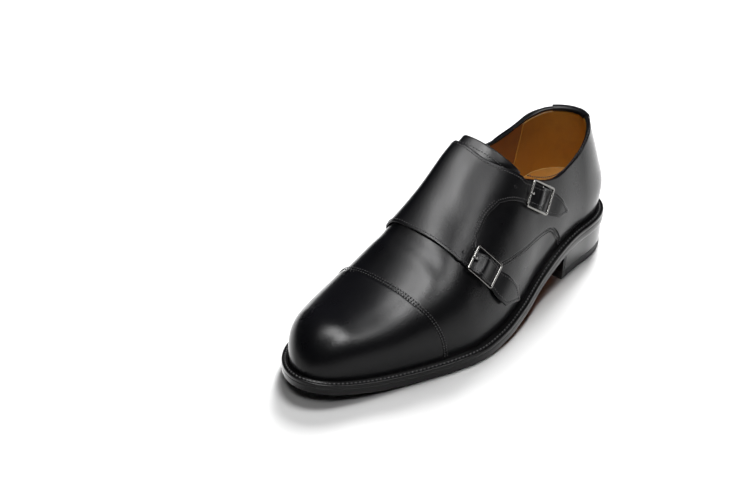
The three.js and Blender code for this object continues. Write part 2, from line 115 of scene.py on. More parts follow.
OUTLINE = Table(
    "t outer inner",
    (0, 33.5, 33.5),
    (35, 31.0, 33.6),
    (70, 34.6, 32.4),
    (100, 39.6, 30.0),
    (130, 49.0, 30.4),
    (160, 55.8, 36.2),
    (185, 56.6, 43.4),
    (205, 52.2, 48.8),
    (226, 44.8, 51.4),
    (248, 37.0, 50.8),
    (272, 32.0, 48.5),
    (302, 31.0, 43.0),
)
ARCH = Table("t z", (0, 21), (70, 19.1), (100, 10.6), (130, 5.2), (160, 1.6), (180, 0), (215, 0))
EDGE = Table(
    "t height overhang", (0, 8.7, 6), (60, 8.7, 6), (110, 7.9, 5.8), (170, 8.5, 7), (302, 8.5, 7)
)
SECTIONS = Table(
    "t ridge_x ridge_z bulge_out bulge_in lift_out lift_in top_out top_in",
    (6, -4.0, 152.0, 2.0, 5.5, 0.42, 0.42, 0.7, 1.0),
    (40, -4.5, 147.0, 4.0, 6.4, 0.36, 0.5, 0.8, 1.06),
    (75, -6.0, 141.0, 4.7, 6.4, 0.36, 0.51, 0.82, 1.12),
    (105, -10.0, 132.0, 4.4, 4.8, 0.37, 0.5, 0.68, 1.02),
    (135, -14.5, 118.5, 3.8, 3.4, 0.41, 0.52, 0.5, 0.84),
    (165, -14.0, 98.0, 3.8, 2.7, 0.46, 0.52, 0.5, 0.69),
    (195, -13.5, 78.0, 4.5, 3.7, 0.53, 0.56, 0.69, 0.7),
    (225, -12.5, 59.5, 4.9, 4.4, 0.61, 0.6, 0.83, 0.75),
    (255, -11.0, 50.0, 3.7, 4.5, 0.6, 0.62, 0.8, 0.74),
    (280, -9.7, 47.0, 2.4, 4.6, 0.58, 0.64, 0.69, 0.72),
    (296, -8.5, 45.5, 0.8, 3.3, 0.54, 0.62, 0.59, 0.68),
)
BACK = Table("rise out", (0, 0), (18, 5.0), (40, -0.3), (68, -8.2), (110, -17))
TOPLINE = Table(
    "t outer inner",
    (6, 0.552, 0.552),
    (18, 0.556, 0.566),
    (30, 0.574, 0.59),
    (45, 0.6, 0.603),
    (60, 0.614, 0.607),
    (75, 0.602, 0.591),
    (90, 0.549, 0.543),
    (105, 0.469, 0.479),
    (120, 0.36, 0.37),
    (134, 0.25, 0.25),
)


def smooth(x):
    """0 below 0, 1 above 1, and a soft S between."""
    x = np.clip(x, 0, 1)
    return x * x * (3 - 2 * x)


# %% [markdown]
# ## The sole's outline and the last's surface
#
# The outline is a half width on each side, rounded off at both ends by a curve like an
# ellipse's. The last stands on that outline, moved in to the feather line where leather meets
# welt. Each half of a cross section is one cubic curve with four handles: the feather line, a
# bulge beside it, the top's width and the ridge.
#
# Near the heel and the toe the surface turns round, so equal steps of t would leave long
# triangles there. The run is a better measure: it goes round each end at an even pace.

# %% The outline and the last
HEEL_TURN = HEEL_ROUND - UPPER_BACK
TOE_START = LENGTH - TOE_ROUND
TOE_TURN = UPPER_TOE - TOE_START
RUN_HEEL = HEEL_TURN * np.pi / 2
RUN_TOE = RUN_HEEL + TOE_START - HEEL_ROUND
RUN_END = RUN_TOE + TOE_TURN * np.pi / 2


def t_of(run):
    """Distance from the heel end: a quarter circle's cosine round the heel, then even, then a
    quarter circle's sine round the toe."""
    heel = UPPER_BACK + HEEL_TURN * (1 - np.cos(np.clip(run, 0, RUN_HEEL) / HEEL_TURN))
    body = np.clip(run - RUN_HEEL, 0, RUN_TOE - RUN_HEEL)
    toe = TOE_TURN * np.sin(np.clip(run - RUN_TOE, 0, RUN_END - RUN_TOE) / TOE_TURN)
    return heel + body + toe


def run_of(t):
    """The run at a distance from the heel end, the other way round."""
    t = np.asarray(t, float)
    heel = HEEL_TURN * np.arccos(np.clip(1 - (t - UPPER_BACK) / HEEL_TURN, 0, 1))
    body = np.clip(t - HEEL_ROUND, 0, TOE_START - HEEL_ROUND)
    toe = TOE_TURN * np.arcsin(np.clip((t - TOE_START) / TOE_TURN, 0, 1))
    return heel + body + toe


def rounding(t, inset):
    """Share of the width that the outline keeps at t, 0 at both ends."""
    heel = np.clip((HEEL_ROUND - t) / (HEEL_ROUND - inset), 0, 1)
    toe = np.clip((t - TOE_START) / (TOE_ROUND - inset), 0, 1)
    return np.sqrt(1 - heel**2) * (1 - toe**TOE_POWER) ** (1 / TOE_ROOT)


def outline_x(t, side, inset):
    """x of the outline moved in by inset, on side 1 (outer) or -1 (inner)."""
    outer, inner = OUTLINE("outer", t), OUTLINE("inner", t)
    return (outer - inner) / 2 + side * ((outer + inner) / 2 - inset) * rounding(t, inset)


def sole_bottom(t):
    """The underside: raised at the heel, down to the floor at the ball, and up at the toe."""
    spring = TOE_SPRING * (np.clip(t - SPRING_FROM, 0, None) / (LENGTH - SPRING_FROM)) ** 2
    return np.where(t > SPRING_FROM, spring, np.maximum(ARCH("z", t), 0))


def welt_top(t):
    """Top of the welt, a sole's thickness above the underside."""
    return sole_bottom(t) + EDGE.straight("height", t)


def last(run, a):
    """The last's surface: across, a cubic from the feather line over the bulge and the top's
    width to the ridge; along, the tables' curves. The heel's back curve leans the rear end."""
    run, a = np.broadcast_arrays(np.asarray(run, float), np.asarray(a, float))
    t = t_of(run)
    side = np.where(a >= 0, 1.0, -1.0)
    inset = EDGE.straight("overhang", t)
    keep = rounding(t, inset)
    drop = np.sqrt(1 - np.clip((t - (UPPER_TOE - TOE_BOX)) / TOE_BOX, 0, 1) ** 2)
    middle = (outline_x(t, 1.0, inset) + outline_x(t, -1.0, inset)) / 2
    feather_x = outline_x(t, side, inset)
    feather_z = welt_top(t) + GAP
    height = (SECTIONS("ridge_z", t) - feather_z) * drop
    ridge_x = middle + (SECTIONS("ridge_x", t) - middle) * keep
    bulge = np.where(side > 0, SECTIONS("bulge_out", t), SECTIONS("bulge_in", t))
    bulge = side * bulge * np.minimum(1, keep * 1.3) * np.minimum(1, drop * 1.2)
    lift = np.where(side > 0, SECTIONS("lift_out", t), SECTIONS("lift_in", t))
    top = np.where(side > 0, SECTIONS("top_out", t), SECTIONS("top_in", t))
    top_x = ridge_x + top * (feather_x - ridge_x)
    w = np.abs(a)
    v = 1 - w
    x = w**3 * feather_x + 3 * w * w * v * (feather_x + bulge) + 3 * w * v * v * top_x + v**3 * ridge_x
    rise = height * (3 * w * w * v * lift + 3 * w * v * v + v**3)
    back = BACK("out", feather_z + rise - welt_top(UPPER_BACK) - GAP)
    y = LENGTH / 2 - (t - back * smooth(1 - (t - UPPER_BACK) / BACK_FADE))
    return np.stack([x - MID_X, y, feather_z + rise], -1)


def unit(v):
    """Vectors scaled to length 1."""
    return v / (np.linalg.norm(v, axis=-1, keepdims=True) + 1e-12)


def slopes(run, a, step=0.5, turn=0.012):
    """How a place on the last moves per unit of run and of a, from small steps either way."""
    run = np.clip(run, step, RUN_END - 2 * step)
    near, far = np.clip(a - turn, -1, 1), np.clip(a + turn, -1, 1)
    along = (last(run + step, a) - last(run - step, a)) / (2 * step)
    across = (last(run, far) - last(run, near)) / (far - near)[..., None]
    return along, across


def outward(run, a):
    """The last's outward direction: the cross product of both slopes."""
    run, a = np.broadcast_arrays(np.asarray(run, float), np.asarray(a, float))
    along, across = slopes(run, a)
    return unit(np.cross(along, across))


# %% [markdown]
# ## Creases
#
# New calf isn't as even as a machined surface. The leather dips a little where the vamp bends,
# it rises beside the straps where they pull, and it is slightly uneven all over. These are
# placed one by one, as soft troughs and ridges in the last's own places, and every layer follows
# them, so no layer cuts through another.

# %% Relief shared by every layer
CREASES = [  # t, a, length along t, width in a, height
    (196, 0.0, 5.0, 0.35, -0.5),
    (203, 0.15, 5.0, 0.3, 0.25),
    (196, -0.45, 6.0, 0.25, -0.4),
    (176, 0.72, 9.0, 0.10, -0.5),
    (150, 0.28, 26.0, 0.07, -0.45),
    (130, 0.5, 16.0, 0.05, -0.5),
    (104, 0.62, 12.0, 0.05, 0.35),
    (96, 0.86, 20.0, 0.06, -0.5),
    (60, 0.8, 18.0, 0.10, 0.3),
    (100, -0.8, 22.0, 0.08, -0.6),
    (262, 0.2, 14.0, 0.25, 0.2),
]


def relief(run, a):
    """Soft bumps, each a bell curve along and across, and a slow unevenness of 0.1 mm."""
    t = t_of(run)
    total = 0.07 * np.sin(t / 11 + 3 * a) * np.cos(9 * a - t / 23) + 0.05 * np.sin(t / 5.3 - 7 * a)
    for place_t, place_a, long, wide, high in CREASES:
        total = total + high * np.exp(-(((t - place_t) / long) ** 2) - ((a - place_a) / wide) ** 2)
    return total * smooth((1 - np.abs(a)) / 0.1)


def lay(run, a, height):
    """A place on the last, moved out by a height and by the shared relief."""
    out = outward(run, a)
    return last(run, a) + out * (np.asarray(height) + relief(run, a))[..., None]


print("ridge at the instep, mm:", np.round(last(run_of(135.0), 0.0), 1))

# %% [markdown]
# ## Building a sheet of leather
#
# A cut piece of leather is a grid of places on the last, sometimes several grids that meet at a
# fork. The grids are merged into one mesh, the boundary is found as the edges that only one
# face has, and the edge is rolled over along a quarter circle, as a skived and burnished edge
# is. The underside closes it, so each piece is a real thin solid.

# %% Mesh helpers
MM = 0.001


def add_mesh(name, points, faces, finish):
    """Makes an object of millimetre points. It rides on the shoe's one body."""
    mesh = bpy.data.meshes.new(name)
    mesh.from_pydata((np.asarray(points) * MM).tolist(), [], [list(map(int, f)) for f in faces])
    mesh.polygons.foreach_set("use_smooth", [True] * len(mesh.polygons))
    mesh.validate()
    mesh.update()
    piece = bpy.data.objects.new(name, mesh)
    bpy.context.scene.collection.objects.link(piece)
    mesh.materials.append(finish)
    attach(piece, "root")
    print(f"{name}: {len(mesh.vertices)} points, {len(mesh.polygons)} faces")
    return piece


def grid_faces(rows, columns, wrap=False):
    """Quads of a grid of rows by columns, numbered row by row. A wrapped grid closes its rows."""
    i = np.arange(rows - 1)[:, None] * columns
    j = np.arange(columns if wrap else columns - 1)[None, :]
    k = (j + 1) % columns
    return np.stack([i + j, i + columns + j, i + columns + k, i + k], -1).reshape(-1, 4)


def weld(points, quads, near=0.004):
    """Merges points that share a place, and turns quads that lost a corner into triangles."""
    keys = np.round(points / near).astype(np.int64)
    _, first, back = np.unique(keys, axis=0, return_index=True, return_inverse=True)
    quads = back.reshape(-1)[quads]
    same = quads == np.roll(quads, -1, axis=1)
    whole = quads[~same.any(1)]
    cut = [np.delete(quads[same[:, k] & (same.sum(1) == 1)], k, axis=1) for k in range(4)]
    triangles = np.vstack([c.reshape(-1, 3) for c in cut])
    return first, whole, triangles


def boundary(quads, triangles):
    """For each edge that one face has: its start and its end, with the face on its left."""
    edges = [np.stack([f, np.roll(f, -1, axis=1)], -1).reshape(-1, 2) for f in (quads, triangles)]
    edges = np.vstack(edges)
    count = edges.max() + 1
    forward = edges[:, 0] * count + edges[:, 1]
    backward = edges[:, 1] * count + edges[:, 0]
    return edges[~np.isin(forward, backward)]


def sheet(name, grids, high, low, finish, roll=0.5, rings=3):
    """A thin closed sheet over grids of (run, a). Its top lies at high above the last and its
    underside at low, both numbers or functions of (run, a). The rim leaves the top along a
    quarter circle of radius roll and goes down to the underside."""
    starts = np.cumsum([0] + [g[0].size for g in grids])
    run = np.concatenate([g[0].ravel() for g in grids])
    a = np.concatenate([g[1].ravel() for g in grids])
    quads = np.vstack([grid_faces(*g[0].shape) + n for g, n in zip(grids, starts)])
    first, quads, triangles = weld(last(run, a), quads)
    run, a = run[first], a[first]
    top_height = high(run, a) if callable(high) else np.full(run.shape, float(high))
    low_height = low(run, a) if callable(low) else np.full(run.shape, float(low))
    top, under, up = lay(run, a, top_height), lay(run, a, low_height), outward(run, a)
    edges = boundary(quads, triangles)
    ring = np.unique(edges[:, 0])
    after, before = np.zeros(len(run), int), np.zeros(len(run), int)
    after[edges[:, 0]], before[edges[:, 1]] = edges[:, 1], edges[:, 0]
    side = unit(np.cross(unit(top[after[ring]] - top[before[ring]]), up[ring]))
    count = len(run)
    layers = [top, under]
    for k in range(1, rings + 1):
        turn = np.pi / 2 * k / rings
        layers.append(top[ring] + side * roll * np.sin(turn) - up[ring] * roll * (1 - np.cos(turn)))
    layers.append(under[ring] + side * roll)
    slot_of = np.zeros(count, int)
    slot_of[ring] = np.arange(len(ring))
    start, end = edges[:, 0], edges[:, 1]
    levels = [(start, end)]
    for k in range(rings + 1):
        base = 2 * count + k * len(ring)
        levels.append((base + slot_of[start], base + slot_of[end]))
    levels.append((count + start, count + end))
    rim = [np.stack([b[0], b[1], c[1], c[0]], -1) for b, c in zip(levels[1:], levels[:-1])]
    faces = [quads, *rim, (quads + count)[:, ::-1]]
    faces = [f.tolist() for f in faces] + [triangles.tolist(), (triangles + count)[:, ::-1].tolist()]
    return add_mesh(name, np.vstack(layers), sum(faces, []), finish)


def spread(count, edge=0.012):
    """Shares from 0 to 1 with one extra close to each end, which keeps edges crisp."""
    return np.concatenate([[0], np.linspace(edge, 1 - edge, count), [1]])


def loft(rear, front, at, across):
    """A grid between two lines. rear and front give (t, a) at shares along; across are shares
    from the rear line to the front one. It is straight in (run, a)."""
    rear_t, rear_a = rear(at)
    front_t, front_a = front(at)
    rear_run, front_run = run_of(rear_t)[:, None], run_of(front_t)[:, None]
    share = across[None, :]
    run = rear_run * (1 - share) + front_run * share
    return run, rear_a[:, None] * (1 - share) + front_a[:, None] * share


def ends(table):
    """The two lines of a table of (at, rear t, rear a, front t, front a)."""
    rear = lambda at: (table("rear_t", at), table("rear_a", at))
    front = lambda at: (table("front_t", at), table("front_a", at))
    return rear, front


# %% [markdown]
# ## Shader helpers
#
# A material is a sum of simple patterns. Writing it with nodes by hand is long, so one small
# class wraps a socket, and the usual signs add Math nodes.

# %% Shader helpers
class Value:
    """A number that changes over the surface. + - * and ** add Math nodes."""

    def __init__(self, shader, socket):
        self.shader, self.socket = shader, socket

    def _math(self, operation, first, second):
        return self.shader.node("ShaderNodeMath", {"operation": operation}, {0: first, 1: second})

    def __add__(self, other):
        return self._math("ADD", self, other)

    def __radd__(self, other):
        return self._math("ADD", other, self)

    def __sub__(self, other):
        return self._math("SUBTRACT", self, other)

    def __rsub__(self, other):
        return self._math("SUBTRACT", other, self)

    def __mul__(self, other):
        return self._math("MULTIPLY", self, other)

    def __rmul__(self, other):
        return self._math("MULTIPLY", other, self)

    def __pow__(self, other):
        return self._math("POWER", self, other)


class Shader:
    """A material's node tree. node() adds a node with its settings and its sockets' values."""

    def __init__(self, name, **constants):
        self.material = bpy.data.materials.new(name)
        self.material.use_nodes = True
        self.tree = self.material.node_tree
        self.surface = self.tree.nodes["Principled BSDF"]
        for socket, value in constants.items():
            self.surface.inputs[socket.replace("_", " ")].default_value = value
        self.place = self.node("ShaderNodeTexCoord", output="Object")

    def node(self, kind, settings=None, inputs=None, output=0):
        made = self.tree.nodes.new(kind)
        for name, value in (settings or {}).items():
            setattr(made, name, value)
        for key, value in (inputs or {}).items():
            if isinstance(value, Value):
                self.tree.links.new(value.socket, made.inputs[key])
            else:
                made.inputs[key].default_value = value
        return Value(self, made.outputs[output])

    def link(self, socket, value):
        self.tree.links.new(value.socket, self.surface.inputs[socket])

    def noise(self, scale, detail=3.0, stretch=(1, 1, 1), roughness=0.5):
        """Clouds of a size of about 1 / scale metres, from 0 to 1."""
        where = self.node("ShaderNodeMapping", {}, {"Vector": self.place, "Scale": stretch})
        sockets = {"Vector": where, "Scale": scale, "Detail": detail, "Roughness": roughness}
        return self.node("ShaderNodeTexNoise", {}, sockets)

    def cells(self, scale):
        """Distance to the nearest of many scattered points, as on pebbled leather."""
        sockets = {"Vector": self.place, "Scale": scale}
        return self.node("ShaderNodeTexVoronoi", {"feature": "F1"}, sockets)

    def blend(self, share, first, second):
        """The first colour where share is 0, the second where it is 1."""
        shades = [c if isinstance(c, Value) else (*c, 1.0) for c in (first, second)]
        sockets = {0: share, 6: shades[0], 7: shades[1]}
        return self.node("ShaderNodeMix", {"data_type": "RGBA"}, sockets, output=2)

    def facing(self):
        """0 where the surface is seen head on, towards 1 where it is seen along, as wax gleams."""
        return self.node("ShaderNodeLayerWeight", {}, {"Blend": 0.5}, output=1)

    def above(self, value, low, high):
        """0 where value is under low, 1 where it is over high, and even between."""
        sockets = {"Value": value, "From Min": low, "From Max": high}
        return self.node("ShaderNodeMapRange", {"clamp": True}, sockets)

    def bump(self, height, distance, strength=1.0):
        """Tilts the shading as a relief of that height, in metres, would."""
        sockets = {"Height": height, "Distance": distance, "Strength": strength}
        self.link("Normal", self.node("ShaderNodeBump", {}, sockets))


# %% [markdown]
# ## Finishes
#
# Polished black calf is nearly black, so what shows is its gloss. It has fine pores, a polish
# that is thicker in some places than in others, and a thin coat of wax that shows most where
# the surface is seen along. The edges of sole and heel are dyed and waxed too, with fine lines
# along the layers.
# Lining and sock are vegetable-tanned leather in a tan colour, with darker pores. The heel lining is a
# lighter copy of the lining's leather, painted light where the heel's inside is lit, and the front lining
# is kept darker as painted shade.

# %% Leather finishes
def calf_finish(name, roughness=0.28, grain=1.0):
    s = Shader(name, Coat_Roughness=0.16, Specular_IOR_Level=0.2)
    cloud, polish = s.noise(28, 4), s.noise(95, 3)
    pores, wrinkle = s.cells(1500), s.noise(750, 4, (1, 0.7, 1))
    s.link("Base Color", s.blend(cloud, (0.002, 0.002, 0.0027), (0.0045, 0.0045, 0.0055)))
    s.link("Roughness", roughness - 0.06 + cloud * 0.07 + polish * 0.06)
    s.link("Coat Weight", s.facing() ** 3 * 1.3)
    s.bump(pores * 0.6 + wrinkle * 0.9 + polish * 0.8, 0.00011 * grain, 0.45)
    return s.material


def edge_finish(name):
    s = Shader(name, Coat_Roughness=0.12, Coat_IOR=1.8, Specular_IOR_Level=0.2)
    lines, cloud = s.noise(160, 2, (1, 1, 12)), s.noise(45, 3)
    s.link("Base Color", s.blend(lines, (0.003, 0.003, 0.0035), (0.008, 0.0075, 0.008)))
    s.link("Roughness", 0.22 + lines * 0.1 + cloud * 0.06)
    s.link("Coat Weight", s.facing() ** 2 * 1.3)
    s.bump(lines + s.noise(900, 2), 0.00003, 0.15)
    return s.material


def tan_finish(name, deep, pale, roughness):
    s = Shader(name, Specular_IOR_Level=0.4)
    cloud, fibre, pores = s.noise(30, 4), s.noise(420, 4, (1, 1, 0.5)), s.cells(1900)
    stain = s.above(s.noise(75, 5), 0.55, 0.75)
    body = s.blend(cloud * 0.6 + fibre * 0.4, deep, pale)
    s.link("Base Color", s.blend(stain * 0.25, body, tuple(0.6 * c for c in deep)))
    s.link("Roughness", roughness - 0.05 + fibre * 0.12)
    s.bump(fibre * 0.6 + pores * 0.5, 0.00012, 0.5)
    return s.material


calf = calf_finish("black_calf")
strap_calf = calf_finish("strap_calf", 0.3, 1.2)
cut_edge = calf_finish("folded_calf", 0.36, 1.4)
sole_edge = edge_finish("waxed_sole_edge")
# The lining and heel lining finishes are one leather in two shades: the front lining darker as painted
# shade, the heel lining lighter as painted light.
lining_tan_painted_shade = tan_finish("lining_leather", (0.25, 0.09, 0.003), (0.36, 0.145, 0.007), 0.55)
heel_tan_painted_light = tan_finish("heel_lining_leather_painted_light", (0.40, 0.175, 0.012), (0.54, 0.265, 0.026), 0.5)
sock_tan = tan_finish("sock_leather", (0.78, 0.46, 0.12), (0.88, 0.56, 0.19), 0.42)
sole_tan = tan_finish("sole_leather", (0.26, 0.09, 0.04), (0.36, 0.14, 0.065), 0.5)


# %% Thread, rubber and nickel
def plain_finish(name, dark, pale, roughness, scale=700, **constants):
    s = Shader(name, **constants)
    grain = s.noise(scale, 3)
    s.link("Base Color", s.blend(grain, dark, pale))
    s.link("Roughness", roughness - 0.06 + grain * 0.12)
    s.bump(grain, 0.00005, 0.4)
    return s.material


thread = plain_finish("black_thread", (0.004, 0.004, 0.0045), (0.012, 0.012, 0.013), 0.5, 2500)
welt_thread = plain_finish("waxed_thread", (0.03, 0.03, 0.031), (0.08, 0.08, 0.082), 0.5, 2500)
rubber = plain_finish("black_rubber", (0.006, 0.006, 0.0065), (0.012, 0.012, 0.0125), 0.6)
nickel = plain_finish("polished_nickel", (0.17, 0.167, 0.16), (0.26, 0.255, 0.245), 0.2, 160, Metallic=1.0)
print("finishes:", len(bpy.data.materials))

# %% [markdown]
# ## Vamp and toe cap
#
# The vamp covers the forepart. Its rear edges run under the quarters, so it is a front grid
# over the whole width and two arms back along the sides, which meet it where the throat closes.
# The cap lies over the vamp in front of a seam that sweeps back at the outer side.

# %% The vamp and the cap
VAMP_EDGE = Table(
    "t outer inner",
    (62, 0.93, 0.96),
    (72, 0.82, 0.94),
    (84, 0.73, 0.86),
    (95, 0.70, 0.66),
    (110, 0.67, 0.60),
    (130, 0.62, 0.58),
    (150, 0.5, 0.56),
)
CAP_SEAM = Table(
    "a t",
    (-1, 222),
    (-0.6, 224.6),
    (-0.12, 227.2),
    (0.07, 226.6),
    (0.24, 225.2),
    (0.44, 222.3),
    (0.66, 217.3),
    (0.86, 213),
    (1, 211),
)
CAP_HIGH = 1.2


def with_throat(edge, throat, front, first, rows, columns, front_rows):
    """Three grids round an opening. Two arms run from first to the throat, each from the
    opening's edge out to the feather line, and the third covers the width from the throat
    to front(a). The opening ends as half an ellipse."""
    start = edge.x[-1]
    runs = run_of(first) + (run_of(throat) - run_of(first)) * np.sin(np.linspace(0, np.pi / 2, rows))
    t = t_of(runs)
    closing = np.sqrt(1 - np.clip((t - start) / (throat - start), 0, 1) ** 2)
    share = spread(columns)[None, :]
    grids = []
    for side, name in ((1, "outer"), (-1, "inner")):
        inner_a = (edge(name, t) * closing)[:, None]
        a = inner_a * (1 - share) + share
        if side < 0:
            a = -a[:, ::-1]
        grids.append((np.broadcast_to(runs[:, None], a.shape).copy(), a))
    across = np.concatenate([-spread(columns)[::-1], spread(columns)[1:]])[None, :]
    along = spread(front_rows)[:, None]
    run = run_of(throat) * (1 - along) + run_of(front(across)) * along
    return [*grids, (run, np.broadcast_to(across, run.shape).copy())]


vamp = sheet(
    "vamp",
    with_throat(VAMP_EDGE, 166.0, lambda a: CAP_SEAM("t", a) + 6, 62.0, 70, 40, 56),
    0.0,
    -1.0,
    calf,
)
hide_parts("upper")


def cap_grid():
    """From the seam to the toe's last point, where every row meets."""
    a = np.concatenate([-spread(52)[::-1], spread(52)[1:]])[None, :]
    share = np.concatenate([[0, 0.01], np.linspace(0.03, 1, 84)])[:, None]
    run = run_of(CAP_SEAM("t", a)) * (1 - share) + RUN_END * share
    return run, np.broadcast_to(a, run.shape).copy()


cap = sheet("toe_cap_leather", [cap_grid()], CAP_HIGH, -0.3, calf)
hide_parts("toe_cap")

# %% [markdown]
# ## Quarters, panel and straps
#
# The outer quarter is cut low over the vamp and runs round to the back seam. The inner quarter
# is one large piece: it covers the inner side, crosses the instep as a panel, and forks into
# both straps. It's four grids with shared edges: the heel part, the part over the vamp, the
# panel, and two straps with pointed tips. Under each strap sits a buckle, whose middle bar
# pushes the leather up into a hump.

# %% Places of the buckles
BUCKLES = {
    "upper": ((109.2, 0.503), (85.8, 0.675)),
    "lower": ((171.4, 0.5), (159.3, 0.695)),
}
BUCKLE_SEAT = 2.4


def buckle_seat(near, far):
    """Middle of a buckle and its three directions: along the strap, across it and outward."""
    t, a = (near[0] + far[0]) / 2, (near[1] + far[1]) / 2
    run = run_of(t)
    z = outward(run, a)
    x = last(run_of(far[0]), far[1]) - last(run_of(near[0]), near[1])
    x = unit(x - z * (x @ z))
    return last(run, a) + z * BUCKLE_SEAT, np.stack([x, np.cross(z, x), z])


SEATS = {name: buckle_seat(*places) for name, places in BUCKLES.items()}
HUMP, HUMP_LONG = 2.5, 4.6  # height of a strap over a middle bar, and its half length
BAR_DIP = 0.25  # how far the strap sinks beside each end bar
TIP_LIFT = 1.7  # how far a strap's tip stands off the quarter


def inside_tip(x, y, z):
    """1 at a strap's tip, beyond the buckle, and 0 before it."""
    return smooth((x - 14) / 14) * smooth((14 - np.abs(y)) / 2) * (np.abs(z) < 18) * (x < 50)


def strap_high(run, a):
    """Top of the inner quarter above the last: one layer over the inner side, more over the
    instep, and a hump with a dip on both sides of it where a buckle's bars hold the strap."""
    high = OVERLAY + (STRAP_HIGH - OVERLAY) * smooth((a + 0.62) / 0.35)
    points = last(run, a)
    for middle, axes in SEATS.values():
        x, y, z = np.moveaxis((points - middle) @ axes.T, -1, 0)
        inside = smooth((10.5 - np.abs(y)) / 2) * (np.abs(z) < 14) * (np.abs(x) < 20)
        hump = HUMP * np.exp(-((x / HUMP_LONG) ** 2)) * (1 - 0.25 * (y / 8) ** 2)
        high = high + inside * (hump - BAR_DIP * np.exp(-(((np.abs(x) - 11.4) / 2) ** 2)))
        high = high + TIP_LIFT * inside_tip(x, y, z)
    return high


STRAP_THICK = 1.35


def strap_low(run, a):
    return strap_high(run, a) - STRAP_THICK


# %% The outer quarter
OUTER_HEEL = Table(
    "at rear_t rear_a front_t front_a",
    (0, 6, 0.552, 6, 1),
    (0.35, 27, 0.568, 27.5, 1),
    (0.7, 48, 0.604, 50, 1),
    (1, 66, 0.612, 70.2, 1),
)
OUTER_SEAM = Table(
    "at rear_t rear_a front_t front_a",
    (0, 66, 0.612, 70.2, 1),
    (0.1, 69, 0.61, 71, 0.95),
    (0.22, 75, 0.602, 75.4, 0.88),
    (0.34, 80, 0.587, 81.8, 0.82),
    (0.46, 87, 0.56, 91.2, 0.78),
    (0.58, 97, 0.51, 104.8, 0.75),
    (0.72, 110, 0.436, 125.5, 0.72),
    (0.84, 122, 0.345, 144.9, 0.68),
    (0.93, 129, 0.285, 160, 0.62),
    (1, 134, 0.25, 172, 0.55),
)
heel_shares = (t_of(np.linspace(0, run_of(66.0), 60)) - UPPER_BACK) / (66 - UPPER_BACK)
across = spread(44)
outer_heel = loft(*ends(OUTER_HEEL), heel_shares, across)
outer_grids = [outer_heel, loft(*ends(OUTER_SEAM), spread(120, 0.005), across)]
outer_quarter = sheet("quarter_outer", outer_grids, OVERLAY, -0.9, calf)
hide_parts("upper")

# %% The inner quarter with its straps
INNER_HEEL = Table(
    "at rear_t rear_a front_t front_a",
    (0, 6, -0.552, 6, -1),
    (0.35, 31, -0.586, 31.5, -1),
    (0.7, 56, -0.606, 57.5, -1),
    (1, 78, -0.585, 82, -1),
)
INNER_SEAM = Table(
    "at rear_t rear_a front_t front_a",
    (0, 78, -0.585, 82, -1),
    (0.12, 84, -0.565, 83.5, -0.88),
    (0.26, 90, -0.543, 88, -0.78),
    (0.45, 100, -0.5, 100, -0.7),
    (0.65, 108, -0.465, 120, -0.67),
    (0.85, 113, -0.435, 145, -0.71),
    (1, 116, -0.42, 163, -0.77),
)
PANEL_SHARES = (0, 0.3, 0.5, 0.7, 1)
PANEL = (  # five places from the rear edge to the front one, at shares of the way across
    (0, (116, -0.42), (130.1, -0.525), (139.5, -0.595), (148.9, -0.665), (163, -0.77)),
    (0.12, (122, -0.34), (136, -0.43), (146, -0.49), (156, -0.55), (174, -0.65)),
    (0.28, (128.5, -0.25), (141, -0.32), (152.5, -0.36), (165.5, -0.4), (185, -0.42)),
    (0.55, (131.5, 0), (148.7, 0), (160, 0), (171.7, 0), (189, 0)),
    (0.8, (126.5, 0.25), (142.5, 0.23), (156, 0.235), (170, 0.25), (185.5, 0.26)),
    (1, (110, 0.42), (132.7, 0.45), (147, 0.438), (160, 0.455), (181, 0.44)),
)
UPPER_STRAP = Table(
    "at rear_t rear_a front_t front_a",
    (0, 110, 0.42, 132.7, 0.45),
    (0.2, 103.5, 0.48, 120, 0.5),
    (0.4, 97, 0.525, 111, 0.57),
    (0.75, 82, 0.63, 93.5, 0.69),
    (1, 73.9, 0.71, 77.5, 0.785),
)
LOWER_STRAP = Table(
    "at rear_t rear_a front_t front_a",
    (0, 160, 0.455, 181, 0.44),
    (0.15, 165.3, 0.49, 179.3, 0.49),
    (0.35, 158.5, 0.58, 174.5, 0.58),
    (0.6, 151, 0.69, 168, 0.69),
    (0.85, 143.5, 0.785, 160.5, 0.8),
    (1, 139.9, 0.83, 155, 0.865),
)
TIPS = {"upper": (67.5, 0.8), "lower": (137.5, 0.925)}
ROOT, SCALLOP = spread(12, 0.05), spread(26, 0.03)
panel_across = np.concatenate([0.3 * ROOT, 0.3 + 0.4 * SCALLOP[1:], 0.7 + 0.3 * ROOT[1:]])
fork_rear, fork_front = len(ROOT), len(ROOT) + len(SCALLOP) - 2


def panel_grid():
    """Smooth across at every share along: first the five places' curves, then the row's."""
    along = spread(60, 0.008)
    curves = [Table("at t a", *[(row[0], *row[1 + k]) for row in PANEL]) for k in range(5)]
    rows = []
    for at in along:
        places = [(float(c("t", at)), float(c("a", at))) for c in curves]
        row = Table("share t a", *[(share, *place) for share, place in zip(PANEL_SHARES, places)])
        rows.append((run_of(row("t", panel_across)), row("a", panel_across)))
    return np.array([r[0] for r in rows]), np.array([r[1] for r in rows])


def strap_grid(table, root, tip, rows=46, tip_rows=10):
    """Starts on the panel's last row, runs to the shoulders, and narrows to the tip."""
    at = np.linspace(0, 1, rows)[1:]
    run, a = loft(*ends(table), at, ROOT)
    near_run, near_a = run[-1], a[-1]
    point = np.linspace(0, 0.93, tip_rows)[1:, None]
    tip_run, tip_a = run_of(tip[0]), tip[1]
    run = np.vstack([root[0][None, :], run, near_run * (1 - point) + tip_run * point])
    a = np.vstack([root[1][None, :], a, near_a * (1 - point) + tip_a * point])
    return run, a


